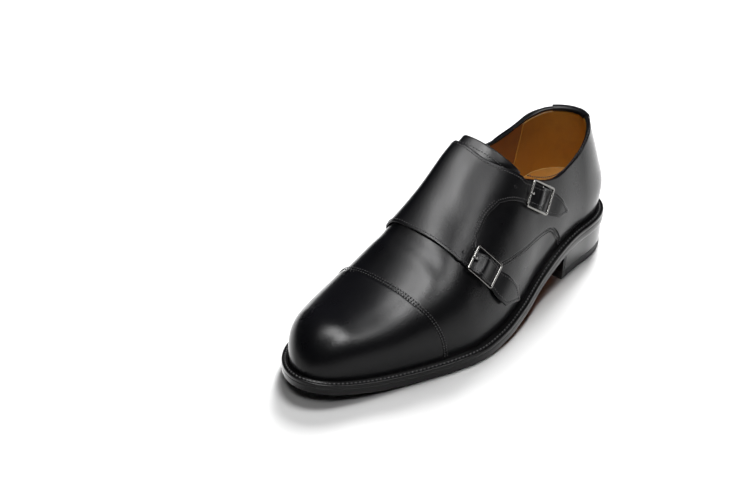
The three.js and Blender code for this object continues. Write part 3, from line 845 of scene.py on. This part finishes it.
def move(run, a, vector):
    """Moves places over the last by a vector in mm: the steps of run and a that come closest
    to it, from the normal equations of both slopes."""
    along, across = slopes(run, a)
    dot = lambda p, q: (p * q).sum(-1)
    rr, ra, aa = dot(along, along), dot(along, across), dot(across, across)
    r, c = dot(vector, along), dot(vector, across)
    size = rr * aa - ra**2
    return run + (r * aa - c * ra) / size, a + (c * rr - r * ra) / size


STRAP_HALF = 7.6


def narrow(grid, middle, axes):
    """Keeps a strap's sides inside its buckle, fading out a little beyond both end bars."""
    run, a = grid
    x, y, _ = np.moveaxis((last(run, a) - middle) @ axes.T, -1, 0)
    half = np.maximum(np.abs(y).max(1, keepdims=True), STRAP_HALF)
    share = smooth((22 - np.abs(x)) / 8) * (1 - STRAP_HALF / half)
    return move(run, a, -(y * share)[..., None] * axes[1])


panel = panel_grid()
upper_root = (panel[0][-1, :fork_rear], panel[1][-1, :fork_rear])
lower_root = (panel[0][-1, fork_front:], panel[1][-1, fork_front:])
straps = {
    "upper": strap_grid(UPPER_STRAP, upper_root, TIPS["upper"]),
    "lower": strap_grid(LOWER_STRAP, lower_root, TIPS["lower"]),
}
for name, grid in straps.items():
    fitted = narrow(grid, *SEATS[name])
    grow = smooth(np.arange(len(fitted[0])) / 6)[:, None]  # the root stays on the panel's row
    straps[name] = tuple(old * (1 - grow) + new * grow for old, new in zip(grid, fitted))
inner_shares = (t_of(np.linspace(0, run_of(78.0), 60)) - UPPER_BACK) / (78 - UPPER_BACK)
inner_heel = loft(*ends(INNER_HEEL), inner_shares, panel_across)
inner_seam = loft(*ends(INNER_SEAM), spread(90, 0.008), panel_across)
# Their columns run from rear to front, so they are turned over to face outward.
flip = lambda grid: (grid[0][:, ::-1], grid[1][:, ::-1])
inner_grids = [flip(g) for g in (inner_heel, inner_seam, panel, *straps.values())]
inner_quarter = sheet("quarter_inner_with_straps", inner_grids, strap_high, strap_low, strap_calf)
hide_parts("strap_panel")

# %% [markdown]
# ## Tongue, lining, collar and back tab
#
# The tongue is padded at its top, so it rises between the quarters. The lining is one tan
# layer inside everything, with a second piece round the heel whose front edge shows as a
# seam; that piece is painted lighter, as painted light, and the front lining darker, as painted shade.
# The quarters' top edge is folded over into a thin rounded collar, and a short strip is
# folded over the back where both quarters meet.

# %% The tongue
TONGUE_TOP = Table(
    "a t", (-0.42, 116), (-0.3, 120.5), (-0.15, 124), (0, 125), (0.15, 122), (0.3, 115.5), (0.42, 108)
)
TONGUE_FRONT = 176.0


def tongue_high(run, a):
    """Under the quarters at its sides, padded up between them along its top edge."""
    middle = 1 - smooth((np.abs(a) - TOPLINE("inner", t_of(run)) + 0.07) / 0.09)
    top = 1 - smooth((t_of(run) - 116) / 30)
    return -2.6 + middle * (0.6 + 2.6 * top)


def tongue_low(run, a):
    padding = 1 - smooth((t_of(run) - 112) / 30)
    return tongue_high(run, a) - 1.6 - 1.8 * padding * (1 - smooth(np.abs(a) / 0.42))


tongue_a = np.linspace(-0.42, 0.42, 60)[None, :]
tongue_share = spread(44, 0.01)[:, None]
tongue_run = run_of(TONGUE_TOP("t", tongue_a)) * (1 - tongue_share) + run_of(TONGUE_FRONT) * tongue_share
tongue_grid = (tongue_run, np.broadcast_to(tongue_a, tongue_run.shape).copy())
tongue = sheet("tongue_leather", [tongue_grid], tongue_high, tongue_low, calf, roll=1.3, rings=6)
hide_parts("tongue")

# %% The lining
lining_grids = with_throat(TOPLINE, 152.0, lambda a: 289.0 + 0 * a, UPPER_BACK, 110, 34, 60)
lining = sheet("lining", lining_grids, -1.0, -WALL, lining_tan_painted_shade, roll=0.2)
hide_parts("upper")
HEEL_LINING = Table("a t", (0.5, 43), (0.66, 46), (0.72, 49.5), (0.82, 56), (0.92, 63), (1, 68))
lining_share = spread(36)[None, :]
heel_lining_grids = []
for side, name in ((1, "outer"), (-1, "inner")):
    share = spread(50)[:, None]
    edge_a = TOPLINE(name, t_of(share * run_of(45.0))) + 0.012
    heel_a = edge_a * (1 - lining_share) + lining_share
    heel_run = share * run_of(HEEL_LINING("t", heel_a))
    heel_a = heel_a * side
    heel_lining_grids.append((heel_run, heel_a) if side > 0 else flip((heel_run, heel_a)))
# The heel lining's lighter tan is painted light on the lit inside of the heel.
heel_lining = sheet("heel_lining", heel_lining_grids, -WALL + 0.2, -WALL - 0.7, heel_tan_painted_light, roll=0.2)
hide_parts("upper")

# %% The seat pad, which curls up the wall round the heel
SEAT_PAD = Table("t a", (6, 0.9), (20, 0.895), (40, 0.89), (58, 0.9), (74, 0.93))
pad_grids = []
for side in (1, -1):
    pad_run = spread(60)[:, None] * run_of(74.0)
    pad_edge = SEAT_PAD("a", t_of(pad_run))
    pad_a = (pad_edge * (1 - spread(12)[None, :]) + spread(12)[None, :]) * side
    pad_run = np.broadcast_to(pad_run, pad_a.shape).copy()
    pad_grids.append((pad_run, pad_a) if side > 0 else flip((pad_run, pad_a)))
seat_pad = sheet("seat_pad", pad_grids, -WALL - 0.6, -WALL - 1.4, sock_tan, roll=0.2)
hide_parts("insole")

# %% Tubes that follow a line
def tube(name, centre, side, up, wide, high, finish, power=2.0, around=16, ends_taper=4):
    """A profile carried along a line: a superellipse, wide by high, in the directions side and
    up. Both ends are drawn in over a few rows to a closed point."""
    turn = np.linspace(0, 2 * np.pi, around, endpoint=False)
    c, s = np.cos(turn), np.sin(turn)
    profile_x = np.sign(c) * np.abs(c) ** (2 / power) * wide / 2
    profile_y = np.sign(s) * np.abs(s) ** (2 / power) * high / 2
    rows = np.arange(len(centre))
    near = np.minimum(rows, rows[::-1]) / ends_taper
    size = np.sqrt(1 - np.clip(1 - near, 0, 1) ** 2)[:, None, None]
    ring = profile_x[None, :, None] * side[:, None] + profile_y[None, :, None] * up[:, None]
    points = (centre[:, None] + ring * size).reshape(-1, 3)
    quads = grid_faces(len(centre), around, wrap=True)
    first, quads, triangles = weld(points, quads, 0.001)
    return add_mesh(name, points[first], quads.tolist() + triangles.tolist(), finish)


def along_topline(outer_end, inner_end, count):
    """Places on the topline from the outer side round the back to the inner side."""
    outer = np.linspace(run_of(outer_end), 0, count)
    inner = np.linspace(0, run_of(inner_end), count)[1:]
    run = np.concatenate([outer, inner])
    a = np.concatenate([TOPLINE("outer", t_of(outer)), -TOPLINE("inner", t_of(inner))])
    return run, a


def frame_along(run, a, height):
    """Points at a height, with the outward direction and the direction up out of the edge."""
    points = lay(run, a, height)
    heading = unit(np.gradient(points, axis=0))
    out = outward(run, a)
    up = unit(np.cross(heading, out))
    return points, out, up * np.where((up[:, 2] < 0)[:, None], -1, 1)


collar_run, collar_a = along_topline(113.0, 119.0, 120)
points, out, up = frame_along(collar_run, collar_a, -0.75)
tube("collar_binding", points - up * 0.5, -out, up, 3.3, 2.4, cut_edge, 2.6)

# %% The back tab
TAB_OUTER, TAB_INNER = 12.0, 25.0
TAB_DEEP = 15.0
TAB_PROFILE = [  # down the outside, height, for the fold over the collar
    (TAB_DEEP, 1.2),
    (9, 1.35),
    (3, 1.5),
    (0.4, 1.7),
    (-0.9, 1.2),
    (-1.6, 0.1),
    (-1.5, -1.2),
    (-0.9, -2.4),
    (0.0, -2.9),
    (0.8, -2.9),
]
tab_run, tab_a = along_topline(float(t_of(TAB_OUTER)), float(t_of(TAB_INNER)), 22)
bend = Table("k down high", *[(k, *row) for k, row in enumerate(TAB_PROFILE)])
k = np.linspace(0, len(TAB_PROFILE) - 1, 48)
down, high = bend("down", k)[None, :], bend("high", k)[None, :]
fade = 1 - 0.3 * (np.linspace(-1, 1, len(tab_run))[:, None] ** 2) * (down > 3)
_, _, tab_up = frame_along(tab_run, tab_a, 0.0)
_, tab_across = slopes(tab_run, tab_a)
rate = np.linalg.norm(tab_across, axis=-1)[:, None]
sign = np.where(np.arange(len(tab_run)) < 22, 1.0, -1.0)[:, None]
on_last = np.maximum(down, 0) * fade
places_a = tab_a[:, None] + sign * on_last / rate
places_run = np.broadcast_to(tab_run[:, None], places_a.shape)
tab_points = lay(places_run, places_a, np.broadcast_to(high, places_a.shape))
tab_points = tab_points + tab_up[:, None] * np.maximum(-down, 0)[..., None]
tab_points = tab_points.reshape(-1, 3)
back_tab = add_mesh("back_tab", tab_points, grid_faces(len(tab_run), len(k)).tolist(), cut_edge)
solid = back_tab.modifiers.new("thickness", "SOLIDIFY")
solid.thickness, solid.offset = 0.8 * MM, 0.0
bevel = back_tab.modifiers.new("edge", "BEVEL")
bevel.width, bevel.segments, bevel.limit_method = 0.3 * MM, 2, "ANGLE"

# %% [markdown]
# ## Sole, welt and heel
#
# The sole is a stack of slabs with one outline. Each slab is a profile, a list of (how far in,
# how high), carried round the outline, with a grid across its top and its underside. The
# profile rounds the waxed edges. The welt is a ring with a groove for its stitches. Its inner
# edge goes under the upper. The heel's two slabs, the stack and the rubber, stop at the breast.

# %% Slabs
def perimeter(stop, inset, heel_steps=26, body_steps=84, toe_steps=52):
    """Distances from the heel end for an outline moved in by inset, closer at both ends."""
    heel = inset + (HEEL_ROUND - inset) * (1 - np.cos(np.linspace(0, np.pi / 2, heel_steps)))
    body = np.linspace(HEEL_ROUND, TOE_START, body_steps)[1:-1]
    toe = TOE_START + (TOE_ROUND - inset) * np.sin(np.linspace(0, np.pi / 2, toe_steps))
    t = np.concatenate([heel, body, toe])
    if stop < LENGTH:
        keep = t < stop - 3
        keep[-1] = False
        t = np.concatenate([t[keep], [stop]])
    return t


def slab(name, profile, finish, stop=LENGTH, across=14, closed=False, faces_finish=None):
    """Carries a profile of (inset, height at t) round both sides. A closed profile makes a ring.
    An open one has its first and last places joined across the shoe by grids. Where the slab
    stops short of the toe, a last grid closes its flat end."""
    sides = []
    for side in (1, -1):
        columns = []
        for inset, height in profile:
            t = perimeter(stop, inset)
            x = outline_x(t, side, inset) - MID_X
            columns.append(np.stack([x, LENGTH / 2 - t, height(t) + 0 * t], -1))
        sides.append(np.stack(columns, 1))
    outer, inner = sides
    rows, columns = outer.shape[:2]
    blocks, quads, count = [], [], 0

    def add(block, faces):
        nonlocal count
        blocks.append(block.reshape(-1, 3))
        quads.append(faces + count)
        count += blocks[-1].shape[0]

    add(outer, grid_faces(rows, columns, closed)[:, ::-1])
    add(inner, grid_faces(rows, columns, closed))
    if not closed:
        share = np.linspace(0, 1, across)[None, :, None]
        for k, turn in ((0, 1), (columns - 1, -1)):
            block = outer[:, k : k + 1] * (1 - share) + inner[:, k : k + 1] * share
            add(block, grid_faces(rows, across)[:, ::turn])
        if stop < LENGTH:
            share = np.linspace(0, 1, across)[None, :, None]
            block = outer[-1][:, None] * (1 - share) + inner[-1][:, None] * share
            add(block, grid_faces(columns, across)[:, ::-1])
    points = np.vstack(blocks)
    first, quads, triangles = weld(points, np.vstack(quads))
    piece = add_mesh(name, points[first], quads.tolist() + triangles.tolist(), finish)
    if faces_finish:
        piece.data.materials.append(faces_finish)
        normal = np.zeros(len(piece.data.polygons) * 3)
        piece.data.polygons.foreach_get("normal", normal)
        middle = np.zeros(len(piece.data.polygons) * 3)
        piece.data.polygons.foreach_get("center", middle)
        # Underside faces behind the ball get the tan sole leather; those towards the toe keep the black
        # edge finish, painted shade under the raised toe.
        waist = middle.reshape(-1, 3)[:, 1] > (LENGTH / 2 - PAINTED_SHADE_FROM) * MM
        under = ((normal.reshape(-1, 3)[:, 2] < -0.8) & waist).astype(int)
        piece.data.polygons.foreach_set("material_index", under)
    return piece


def level(base, lift):
    """A height function: base(t) plus a lift."""
    return lambda t: base(t) + lift


sole_top = level(welt_top, -WELT_THICK)
outsole_profile = [
    (6, level(sole_bottom, 0)),
    (1.8, level(sole_bottom, 0)),
    (1.5, level(sole_bottom, 0.05)),
    (0.7, level(sole_bottom, 0.15)),
    (0.25, level(sole_bottom, 0.55)),
    (0.05, level(sole_bottom, 1.3)),
    (0, level(sole_bottom, 2.6)),
    (0.0, level(sole_top, -0.3)),
    (0.05, level(sole_top, -0.08)),
    (0.25, sole_top),
    (8, sole_top),
]
outsole = slab("outsole_leather", outsole_profile, sole_edge, faces_finish=sole_tan)
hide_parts("outsole")

WELT_IN = 8.9
welt_bottom = level(welt_top, -WELT_THICK + 0.05)
welt_profile = [
    (WELT_IN, welt_bottom),
    (0.25, welt_bottom),
    (0.05, level(welt_bottom, 0.08)),
    (0.0, level(welt_bottom, 0.3)),
    (0.0, level(welt_top, -1.3)),
    (0.15, level(welt_top, -0.5)),
    (0.6, level(welt_top, -0.1)),
    (1.1, welt_top),
    (1.7, welt_top),
    (1.9, level(welt_top, -0.55)),
    (3.5, level(welt_top, -0.55)),
    (3.7, welt_top),
    (5.4, welt_top),
    (6.4, level(welt_top, 0.25)),
    (WELT_IN, level(welt_top, 0.25)),
]
welt = slab("welt_strip", welt_profile, sole_edge, closed=True)
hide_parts("welt")


HEEL_INSET = 0.8  # how far the heel's top stands in from the sole's edge


def heel_slab(name, low, high, finish, bevel=0.5):
    """A lift between two height functions. The heel gets smaller towards the floor."""
    total = float(sole_bottom(0.0))
    taper = lambda z: HEEL_INSET + HEEL_TAPER * (1 - z / total)
    below, above = float(low(0.0)), float(high(0.0))
    hold = bevel + 0.4  # a second row close by keeps the wall between them flat
    rows = [(low, bevel), (level(low, bevel), 0), (level(low, hold), 0)]
    rows += [(level(high, -hold), 0), (level(high, -bevel), 0), (high, bevel)]
    zs = [below, below + bevel, below + hold, above - hold, above - bevel, above]
    profile = [(taper(z) + extra, height) for z, (height, extra) in zip(zs, rows)]
    return slab(name, profile, finish, stop=BREAST)


flat = lambda z: lambda t: z + 0 * np.asarray(t, float)
top_piece = heel_slab("heel_rubber", flat(0.0), flat(LIFT_THICK), rubber, 0.4)
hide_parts("heel_top_piece")
stack_low, stack_high = flat(LIFT_THICK + 0.05), level(sole_bottom, -0.05)
stack = heel_slab("heel_stack_leather", stack_low, stack_high, sole_edge, 0.2)
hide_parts("heel_stack")

# %% The sock
sock_in = 8.9
sock_top = level(welt_top, INSOLE_THICK)
sock_profile = [
    (sock_in, level(sock_top, -2.5)),
    (sock_in, level(sock_top, 0.9)),
    (sock_in + 0.5, level(sock_top, 0.95)),
    (sock_in + 2.5, level(sock_top, 0.5)),
    (sock_in + 5, level(sock_top, 0.15)),
    (sock_in + 9, sock_top),
]
sock = slab("sock_leather", sock_profile, sock_tan)
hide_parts("insole")

# %% [markdown]
# ## Buckles
#
# Each buckle is a square frame of rounded wire, a little bowed over the foot, with a middle
# bar under the strap. Its prong comes up through a hole in the strap and rests on the end bar.

# %% Buckles and prongs
BUCKLE_LONG, BUCKLE_WIDE = 25.0, 20.5
BAR_WIDE, BAR_THICK = 1.7, 1.7
CORNER = 1.3


def rounded_square(long, wide, corner, per_side=14, per_corner=8):
    """Middle line of the frame: four straight sides and four quarter circles."""
    x, y = long / 2 - corner, wide / 2 - corner
    turn = np.linspace(0, np.pi / 2, per_corner)
    places = []
    for k, (cx, cy) in enumerate(((x, y), (-x, y), (-x, -y), (x, -y))):
        angle = turn + k * np.pi / 2
        places.append(np.stack([cx + corner * np.cos(angle), cy + corner * np.sin(angle)], -1))
        nx, ny = ((x, y), (-x, y), (-x, -y), (x, -y))[(k + 1) % 4]
        start = places[-1][-1]
        stop = np.array([nx + corner * np.cos(angle[-1]), ny + corner * np.sin(angle[-1])])
        share = np.linspace(0, 1, per_side)[1:-1, None]
        places.append(start * (1 - share) + stop * share)
    return np.vstack(places)


def place_in_seat(points, name):
    """From a buckle's own x, y, z to the shoe's."""
    middle, axes = SEATS[name]
    return points @ axes + middle


def buckle(name):
    long, wide = BUCKLE_LONG, BUCKLE_WIDE
    line = rounded_square(long - BAR_WIDE, wide - BAR_WIDE, CORNER)
    heading = unit(np.roll(line, -1, axis=0) - np.roll(line, 1, axis=0))
    turn = np.linspace(0, 2 * np.pi, 20, endpoint=False)
    c, s = np.cos(turn), np.sin(turn)
    across = np.sign(c) * np.abs(c) ** 0.62 * BAR_WIDE / 2
    up = np.sign(s) * np.abs(s) ** 0.62 * BAR_THICK / 2
    side = np.stack([heading[:, 1], -heading[:, 0]], -1)
    flat_places = line[:, None] + side[:, None] * across[None, :, None]
    bow = 0.5 * (1 - (flat_places[..., 0] / (long / 2)) ** 2)
    height = BAR_THICK / 2 + up[None, :] + bow
    points = np.concatenate([flat_places, height[..., None]], -1).reshape(-1, 3)
    count, around = len(line), len(turn)
    i = np.arange(count)[:, None] * around
    i2 = (np.arange(count)[:, None] + 1) % count * around
    j = np.arange(around)[None, :]
    j2 = (j + 1) % around
    faces = np.stack([i + j, i + j2, i2 + j2, i2 + j], -1).reshape(-1, 4)
    piece = add_mesh(f"buckle_frame_{name}", place_in_seat(points, name), faces.tolist(), nickel)
    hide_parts(f"buckle_{name}")
    row = np.linspace(-1, 1, 12)[:, None]
    bar = np.hstack([0 * row, row * (wide / 2 - 1.2), 1.0 + 0 * row])
    ones = np.ones((len(bar), 1))
    x_way, z_way = SEATS[name][1][0] * ones, SEATS[name][1][2] * ones
    bar_line = place_in_seat(bar, name)
    bar_piece = tube(f"buckle_bar_{name}", bar_line, x_way, z_way, 1.7, 1.5, nickel)
    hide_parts(f"buckle_{name}")
    end = -long / 2
    share = np.linspace(0, 1, 26)
    x = -5.0 + (end - 0.7 + 5.0) * share
    z = -0.9 + (BAR_THICK + 0.95 + 0.9) * smooth(share / 0.72) - 0.35 * smooth((share - 0.8) / 0.2)
    prong_line = place_in_seat(np.stack([x, 0 * x, z], -1), name)
    ones = np.ones((len(x), 1))
    y_way = SEATS[name][1][1] * ones
    lift = unit(np.cross(unit(np.gradient(prong_line, axis=0)), y_way))
    prong = tube(f"buckle_prong_{name}", prong_line, y_way, lift, 2.0, 1.2, nickel, 2.4, 14, 3)
    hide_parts(f"prong_{name}")


for name in BUCKLES:
    buckle(name)

# %% [markdown]
# ## Stitching
#
# Every seam is sewn in black thread, about five stitches to the centimetre, a little in from
# the edge. A seam's line is its piece's edge moved over the last, and each stitch is a small
# rounded bead of thread, turned slightly from the line, with both ends sunk into the leather.
# The welt's stitches are thicker and lie in its groove.

# %% Lines for the seams
def join(*lines):
    """Lines of (run, a) one after another."""
    return np.concatenate([line[0] for line in lines]), np.concatenate([line[1] for line in lines])


def resample(line, step=0.8):
    """The same line with places an even step apart, in mm."""
    points = last(*line)
    gaps = np.linalg.norm(np.diff(points, axis=0), axis=1)
    length = np.concatenate([[0], np.cumsum(gaps)])
    even = np.linspace(0, length[-1], max(3, int(length[-1] / step)))
    return np.interp(even, length, line[0]), np.interp(even, length, line[1])


def shift(line, away):
    """A line moved over the last by a distance in mm, to its left as seen from outside."""
    run, a = resample(line)
    heading = unit(np.gradient(last(run, a), axis=0))
    left = unit(np.cross(outward(run, a), heading))
    return resample(move(run, a, left * away))


def trim(line, before, after):
    """A line without its first and last stretch, in mm."""
    step = 0.5
    run, a = resample(line, step)
    kept = slice(int(before / step), len(run) - int(after / step))
    return run[kept], a[kept]


def beads(points, heading, up, long, wide, high, slant=0.12):
    """A bead of thread at each point: five rings of six places on a long rounded form."""
    side = unit(np.cross(up, heading))
    x_way = heading * np.cos(slant) + side * np.sin(slant)
    y_way = side * np.cos(slant) - heading * np.sin(slant)
    along = np.array([-0.5, -0.36, 0, 0.36, 0.5])
    size = np.array([0.35, 0.85, 1, 0.85, 0.35])
    turn = np.linspace(0, 2 * np.pi, 6, endpoint=False)
    x = np.repeat(along * long, 6)
    y = (size[:, None] * np.cos(turn) * wide / 2).ravel()
    sink = (size - 1) * high * 0.6
    z = (size[:, None] * np.sin(turn) * high / 2 + sink[:, None]).ravel()
    grid = x[:, None] * x_way[:, None] + y[:, None] * y_way[:, None] + z[:, None] * up[:, None]
    ring = grid_faces(5, 6, wrap=True)
    starts = (np.arange(len(points)) * 30)[:, None, None]
    quads = (ring[None] + starts).reshape(-1, 4)
    caps = np.array([[0, 1, 2, 3, 4, 5], [29, 28, 27, 26, 25, 24]])
    caps = (caps[None] + starts).reshape(-1, 6)
    return (points[:, None] + grid).reshape(-1, 3), quads.tolist() + caps.tolist()


def sew(name, lines, height, pitch=2.1, long=1.35, wide=0.85, high=0.7):
    """Beads along lines of (run, a) places, at a height above the last."""
    all_points, all_faces, count = [], [], 0
    for line in lines:
        run, a = resample(line, pitch)
        level_here = height(run, a) if callable(height) else height + 0 * run
        points = lay(run, a, level_here + 0.05)
        made, faces = beads(points, unit(np.gradient(points, axis=0)), outward(run, a), long, wide, high)
        all_points.append(made)
        all_faces += [[k + count for k in face] for face in faces]
        count += len(made)
    return add_mesh(name, np.vstack(all_points), all_faces, thread)


# %% Seams of the upper
def at_fork(share_from, share_to):
    keep = (panel_across >= share_from - 1e-9) & (panel_across <= share_to + 1e-9)
    return panel[0][-1, keep], panel[1][-1, keep]


seam_a = np.linspace(0.97, -0.97, 160)
cap_line = (run_of(CAP_SEAM("t", seam_a)), seam_a)
sew("stitches_cap", [shift(cap_line, -1.5), shift(cap_line, -3.3)], CAP_HIGH)

outer_line = (outer_grids[1][0][8:, -1], outer_grids[1][1][8:, -1])
sew("stitches_outer_seam", [shift(outer_line, 1.6), shift(outer_line, 3.6)], OVERLAY)
inner_line = (inner_seam[0][10:, -1], inner_seam[1][10:, -1])
sew("stitches_inner_seam", [shift(inner_line, 1.6), shift(trim(inner_line, 0, 3), 3.6)], strap_high)

column = lambda grid, k: (grid[0][:, k], grid[1][:, k])
backward = lambda line: (line[0][::-1], line[1][::-1])
tip_of = lambda name: (straps[name][0][-1], straps[name][1][-1])
rear_edge = join(column(panel, 0), column(straps["upper"], 0), tip_of("upper"))
scallop_edge = join(backward(column(straps["upper"], -1)), at_fork(0.3, 0.7), column(straps["lower"], 0))
front_edge = join(column(panel, -1), column(straps["lower"], -1))
panel_lines = [
    shift(trim(rear_edge, 2, 0), -1.7),
    shift(trim(scallop_edge, 1, 1), -1.7),
    shift(trim(at_fork(0.3, 0.7), 3, 3), -3.6),
    shift(trim(front_edge, 2, 1), 1.7),
]
sew("stitches_straps", panel_lines, strap_high, 1.9)

top_run, top_a = along_topline(104.0, 6.5, 60)
outer_top = (top_run[:50], top_a[:50])
inner_top_t = np.linspace(17, 108, 80)
inner_top = (run_of(inner_top_t), -TOPLINE("inner", inner_top_t))
sew("stitches_collar", [shift(outer_top, 3.0), shift(inner_top, -3.0)], OVERLAY)
tongue_line_a = np.linspace(-0.34, 0.36, 50)
tongue_line = (run_of(TONGUE_TOP("t", tongue_line_a) + 5.0), tongue_line_a)
sew("stitches_tongue", [tongue_line], tongue_high)

# %% Holes in the straps
HOLE_BEFORE = 0.32  # of the buckle's length before its near bar
HOLE_PROFILE = np.array([(0, 0.04), (0.5, 0.04), (0.7, 0.1), (0.95, 0.2), (1.2, 0.12), (1.3, -0.1)])
turn = np.linspace(0, 2 * np.pi, 20, endpoint=False)
blocks, faces = [], []
for near, far in BUCKLES.values():
    t = near[0] + HOLE_BEFORE * (near[0] - far[0])
    run, a = run_of(t), near[1] + HOLE_BEFORE * (near[1] - far[1])
    z = outward(run, a)
    x = unit(slopes(run, a)[1])
    y = np.cross(z, x)
    middle = lay(run, a, strap_high(run, a))
    ring = np.cos(turn)[:, None] * x + np.sin(turn)[:, None] * y
    block = middle + HOLE_PROFILE[:, :1, None] * ring[None] + HOLE_PROFILE[:, 1:, None] * z
    grid = grid_faces(len(HOLE_PROFILE), len(turn), wrap=True)
    first, quads, triangles = weld(block.reshape(-1, 3), grid, 0.001)
    start = sum(len(b) for b in blocks)
    blocks.append(block.reshape(-1, 3)[first])
    faces += (quads + start).tolist() + (triangles + start).tolist()
add_mesh("strap_holes", np.vstack(blocks), faces, cut_edge)

# %% Welt stitches
WELT_STITCH = 2.7
WELT_PITCH = 3.0
sides = []
for side in (1, -1):
    t = perimeter(LENGTH, WELT_STITCH)
    side_x = outline_x(t, side, WELT_STITCH) - MID_X
    sides.append(np.stack([side_x, LENGTH / 2 - t, welt_top(t) - 0.12], -1))
ring = np.vstack([sides[0], sides[1][::-1][1:]])
length = np.concatenate([[0], np.cumsum(np.linalg.norm(np.diff(ring, axis=0), axis=1))])
even = np.arange(0, length[-1], WELT_PITCH)
ring = np.stack([np.interp(even, length, ring[:, k]) for k in range(3)], -1)
heading = unit(np.roll(ring, -1, axis=0) - np.roll(ring, 1, axis=0))
up = np.tile([0.0, 0.0, 1.0], (len(ring), 1))
made, faces = beads(ring, heading, up, 1.8, 1.4, 1.2, 0.1)
add_mesh("stitches_welt", made, faces, welt_thread)

# %% [markdown]
# ## Floor, light and camera
#
# The shoe stands on a plain white floor. The soft lights are of two kinds. The gleam lights show
# only in polished surfaces, on cap, vamp, side and heel. The plain lights only brighten: they
# light the floor and the lining, and those behind the shoe put its shadow in front. The pale
# surround is a background and lights nothing, so the black leather stays black.

# %% Floor, light and camera
floor_mesh = bpy.data.meshes.new("floor")
FLOOR = 4.0
floor_mesh.from_pydata(
    [(-FLOOR, -FLOOR, 0), (FLOOR, -FLOOR, 0), (FLOOR, FLOOR, 0), (-FLOOR, FLOOR, 0)], [], [(0, 1, 2, 3)]
)
floor = bpy.data.objects.new("floor", floor_mesh)
bpy.context.scene.collection.objects.link(floor)
floor_shader = Shader("white_floor", Base_Color=(0.6, 0.6, 0.6, 1), Roughness=0.9, Specular_IOR_Level=0.0)
floor_mesh.materials.append(floor_shader.material)

world = bpy.data.worlds.new("studio")
bpy.context.scene.world = world
world.use_nodes = True
world.node_tree.nodes["Background"].inputs["Color"].default_value = (1, 1, 1, 1)
world.node_tree.nodes["Background"].inputs["Strength"].default_value = 0.9
world.cycles_visibility.glossy = False
world.cycles_visibility.diffuse = False


def direction(azimuth, elevation):
    """Unit vector from the shoe: azimuth 0 is in front of the toe, 90 the outer side."""
    a, e = np.radians(azimuth), np.radians(elevation)
    return Vector((np.sin(a) * np.cos(e), -np.cos(a) * np.cos(e), np.sin(e)))


def softbox(name, azimuth, elevation, distance, wide, high, watts, gloss):
    """A rectangular light. With gloss it shows only as a gleam on polished pieces, and
    without it, it only brightens, so the gleams and the shadows are placed apart."""
    light = bpy.data.lights.new(name, "AREA")
    light.shape, light.size, light.size_y, light.energy = "RECTANGLE", wide, high, watts
    lamp = bpy.data.objects.new(name, light)
    bpy.context.scene.collection.objects.link(lamp)
    way = direction(azimuth, elevation)
    lamp.location = Vector((0, 0, 0.05)) + way * distance
    lamp.rotation_euler = way.to_track_quat("Z", "Y").to_euler()
    lamp.visible_glossy, lamp.visible_diffuse = gloss, not gloss
    return lamp


softbox("gleam_top", 24, 77, 2.2, 0.7, 0.9, 34, True)
softbox("gleam_left", -20, 70, 2.2, 0.8, 0.8, 14, True)
softbox("gleam_side", 58, 58, 2.2, 0.62, 0.85, 50, True)
softbox("gleam_heel", 104, 45, 2.2, 0.9, 0.6, 22, True)
softbox("top_light", 200, 70, 2.2, 0.8, 0.8, 45, False)
softbox("rear_light", 205, 42, 2.4, 0.6, 0.6, 105, False)
softbox("front_fill", 30, 62, 2.2, 0.8, 0.8, 12, False)

camera_data = bpy.data.cameras.new("camera")
camera = bpy.data.objects.new("camera", camera_data)
bpy.context.scene.collection.objects.link(camera)
CAMERA_FROM = direction(42.62, 32.6)
CAMERA_AIM = Vector((-0.0627, -0.0145, 0.03))
camera.location = CAMERA_AIM + CAMERA_FROM * 1.776
camera.rotation_euler = CAMERA_FROM.to_track_quat("Z", "Y").to_euler()
camera_data.lens = 121.5
camera_data.sensor_width = 36.0
bpy.context.scene.camera = camera
bpy.context.scene.view_settings.view_transform = "Standard"
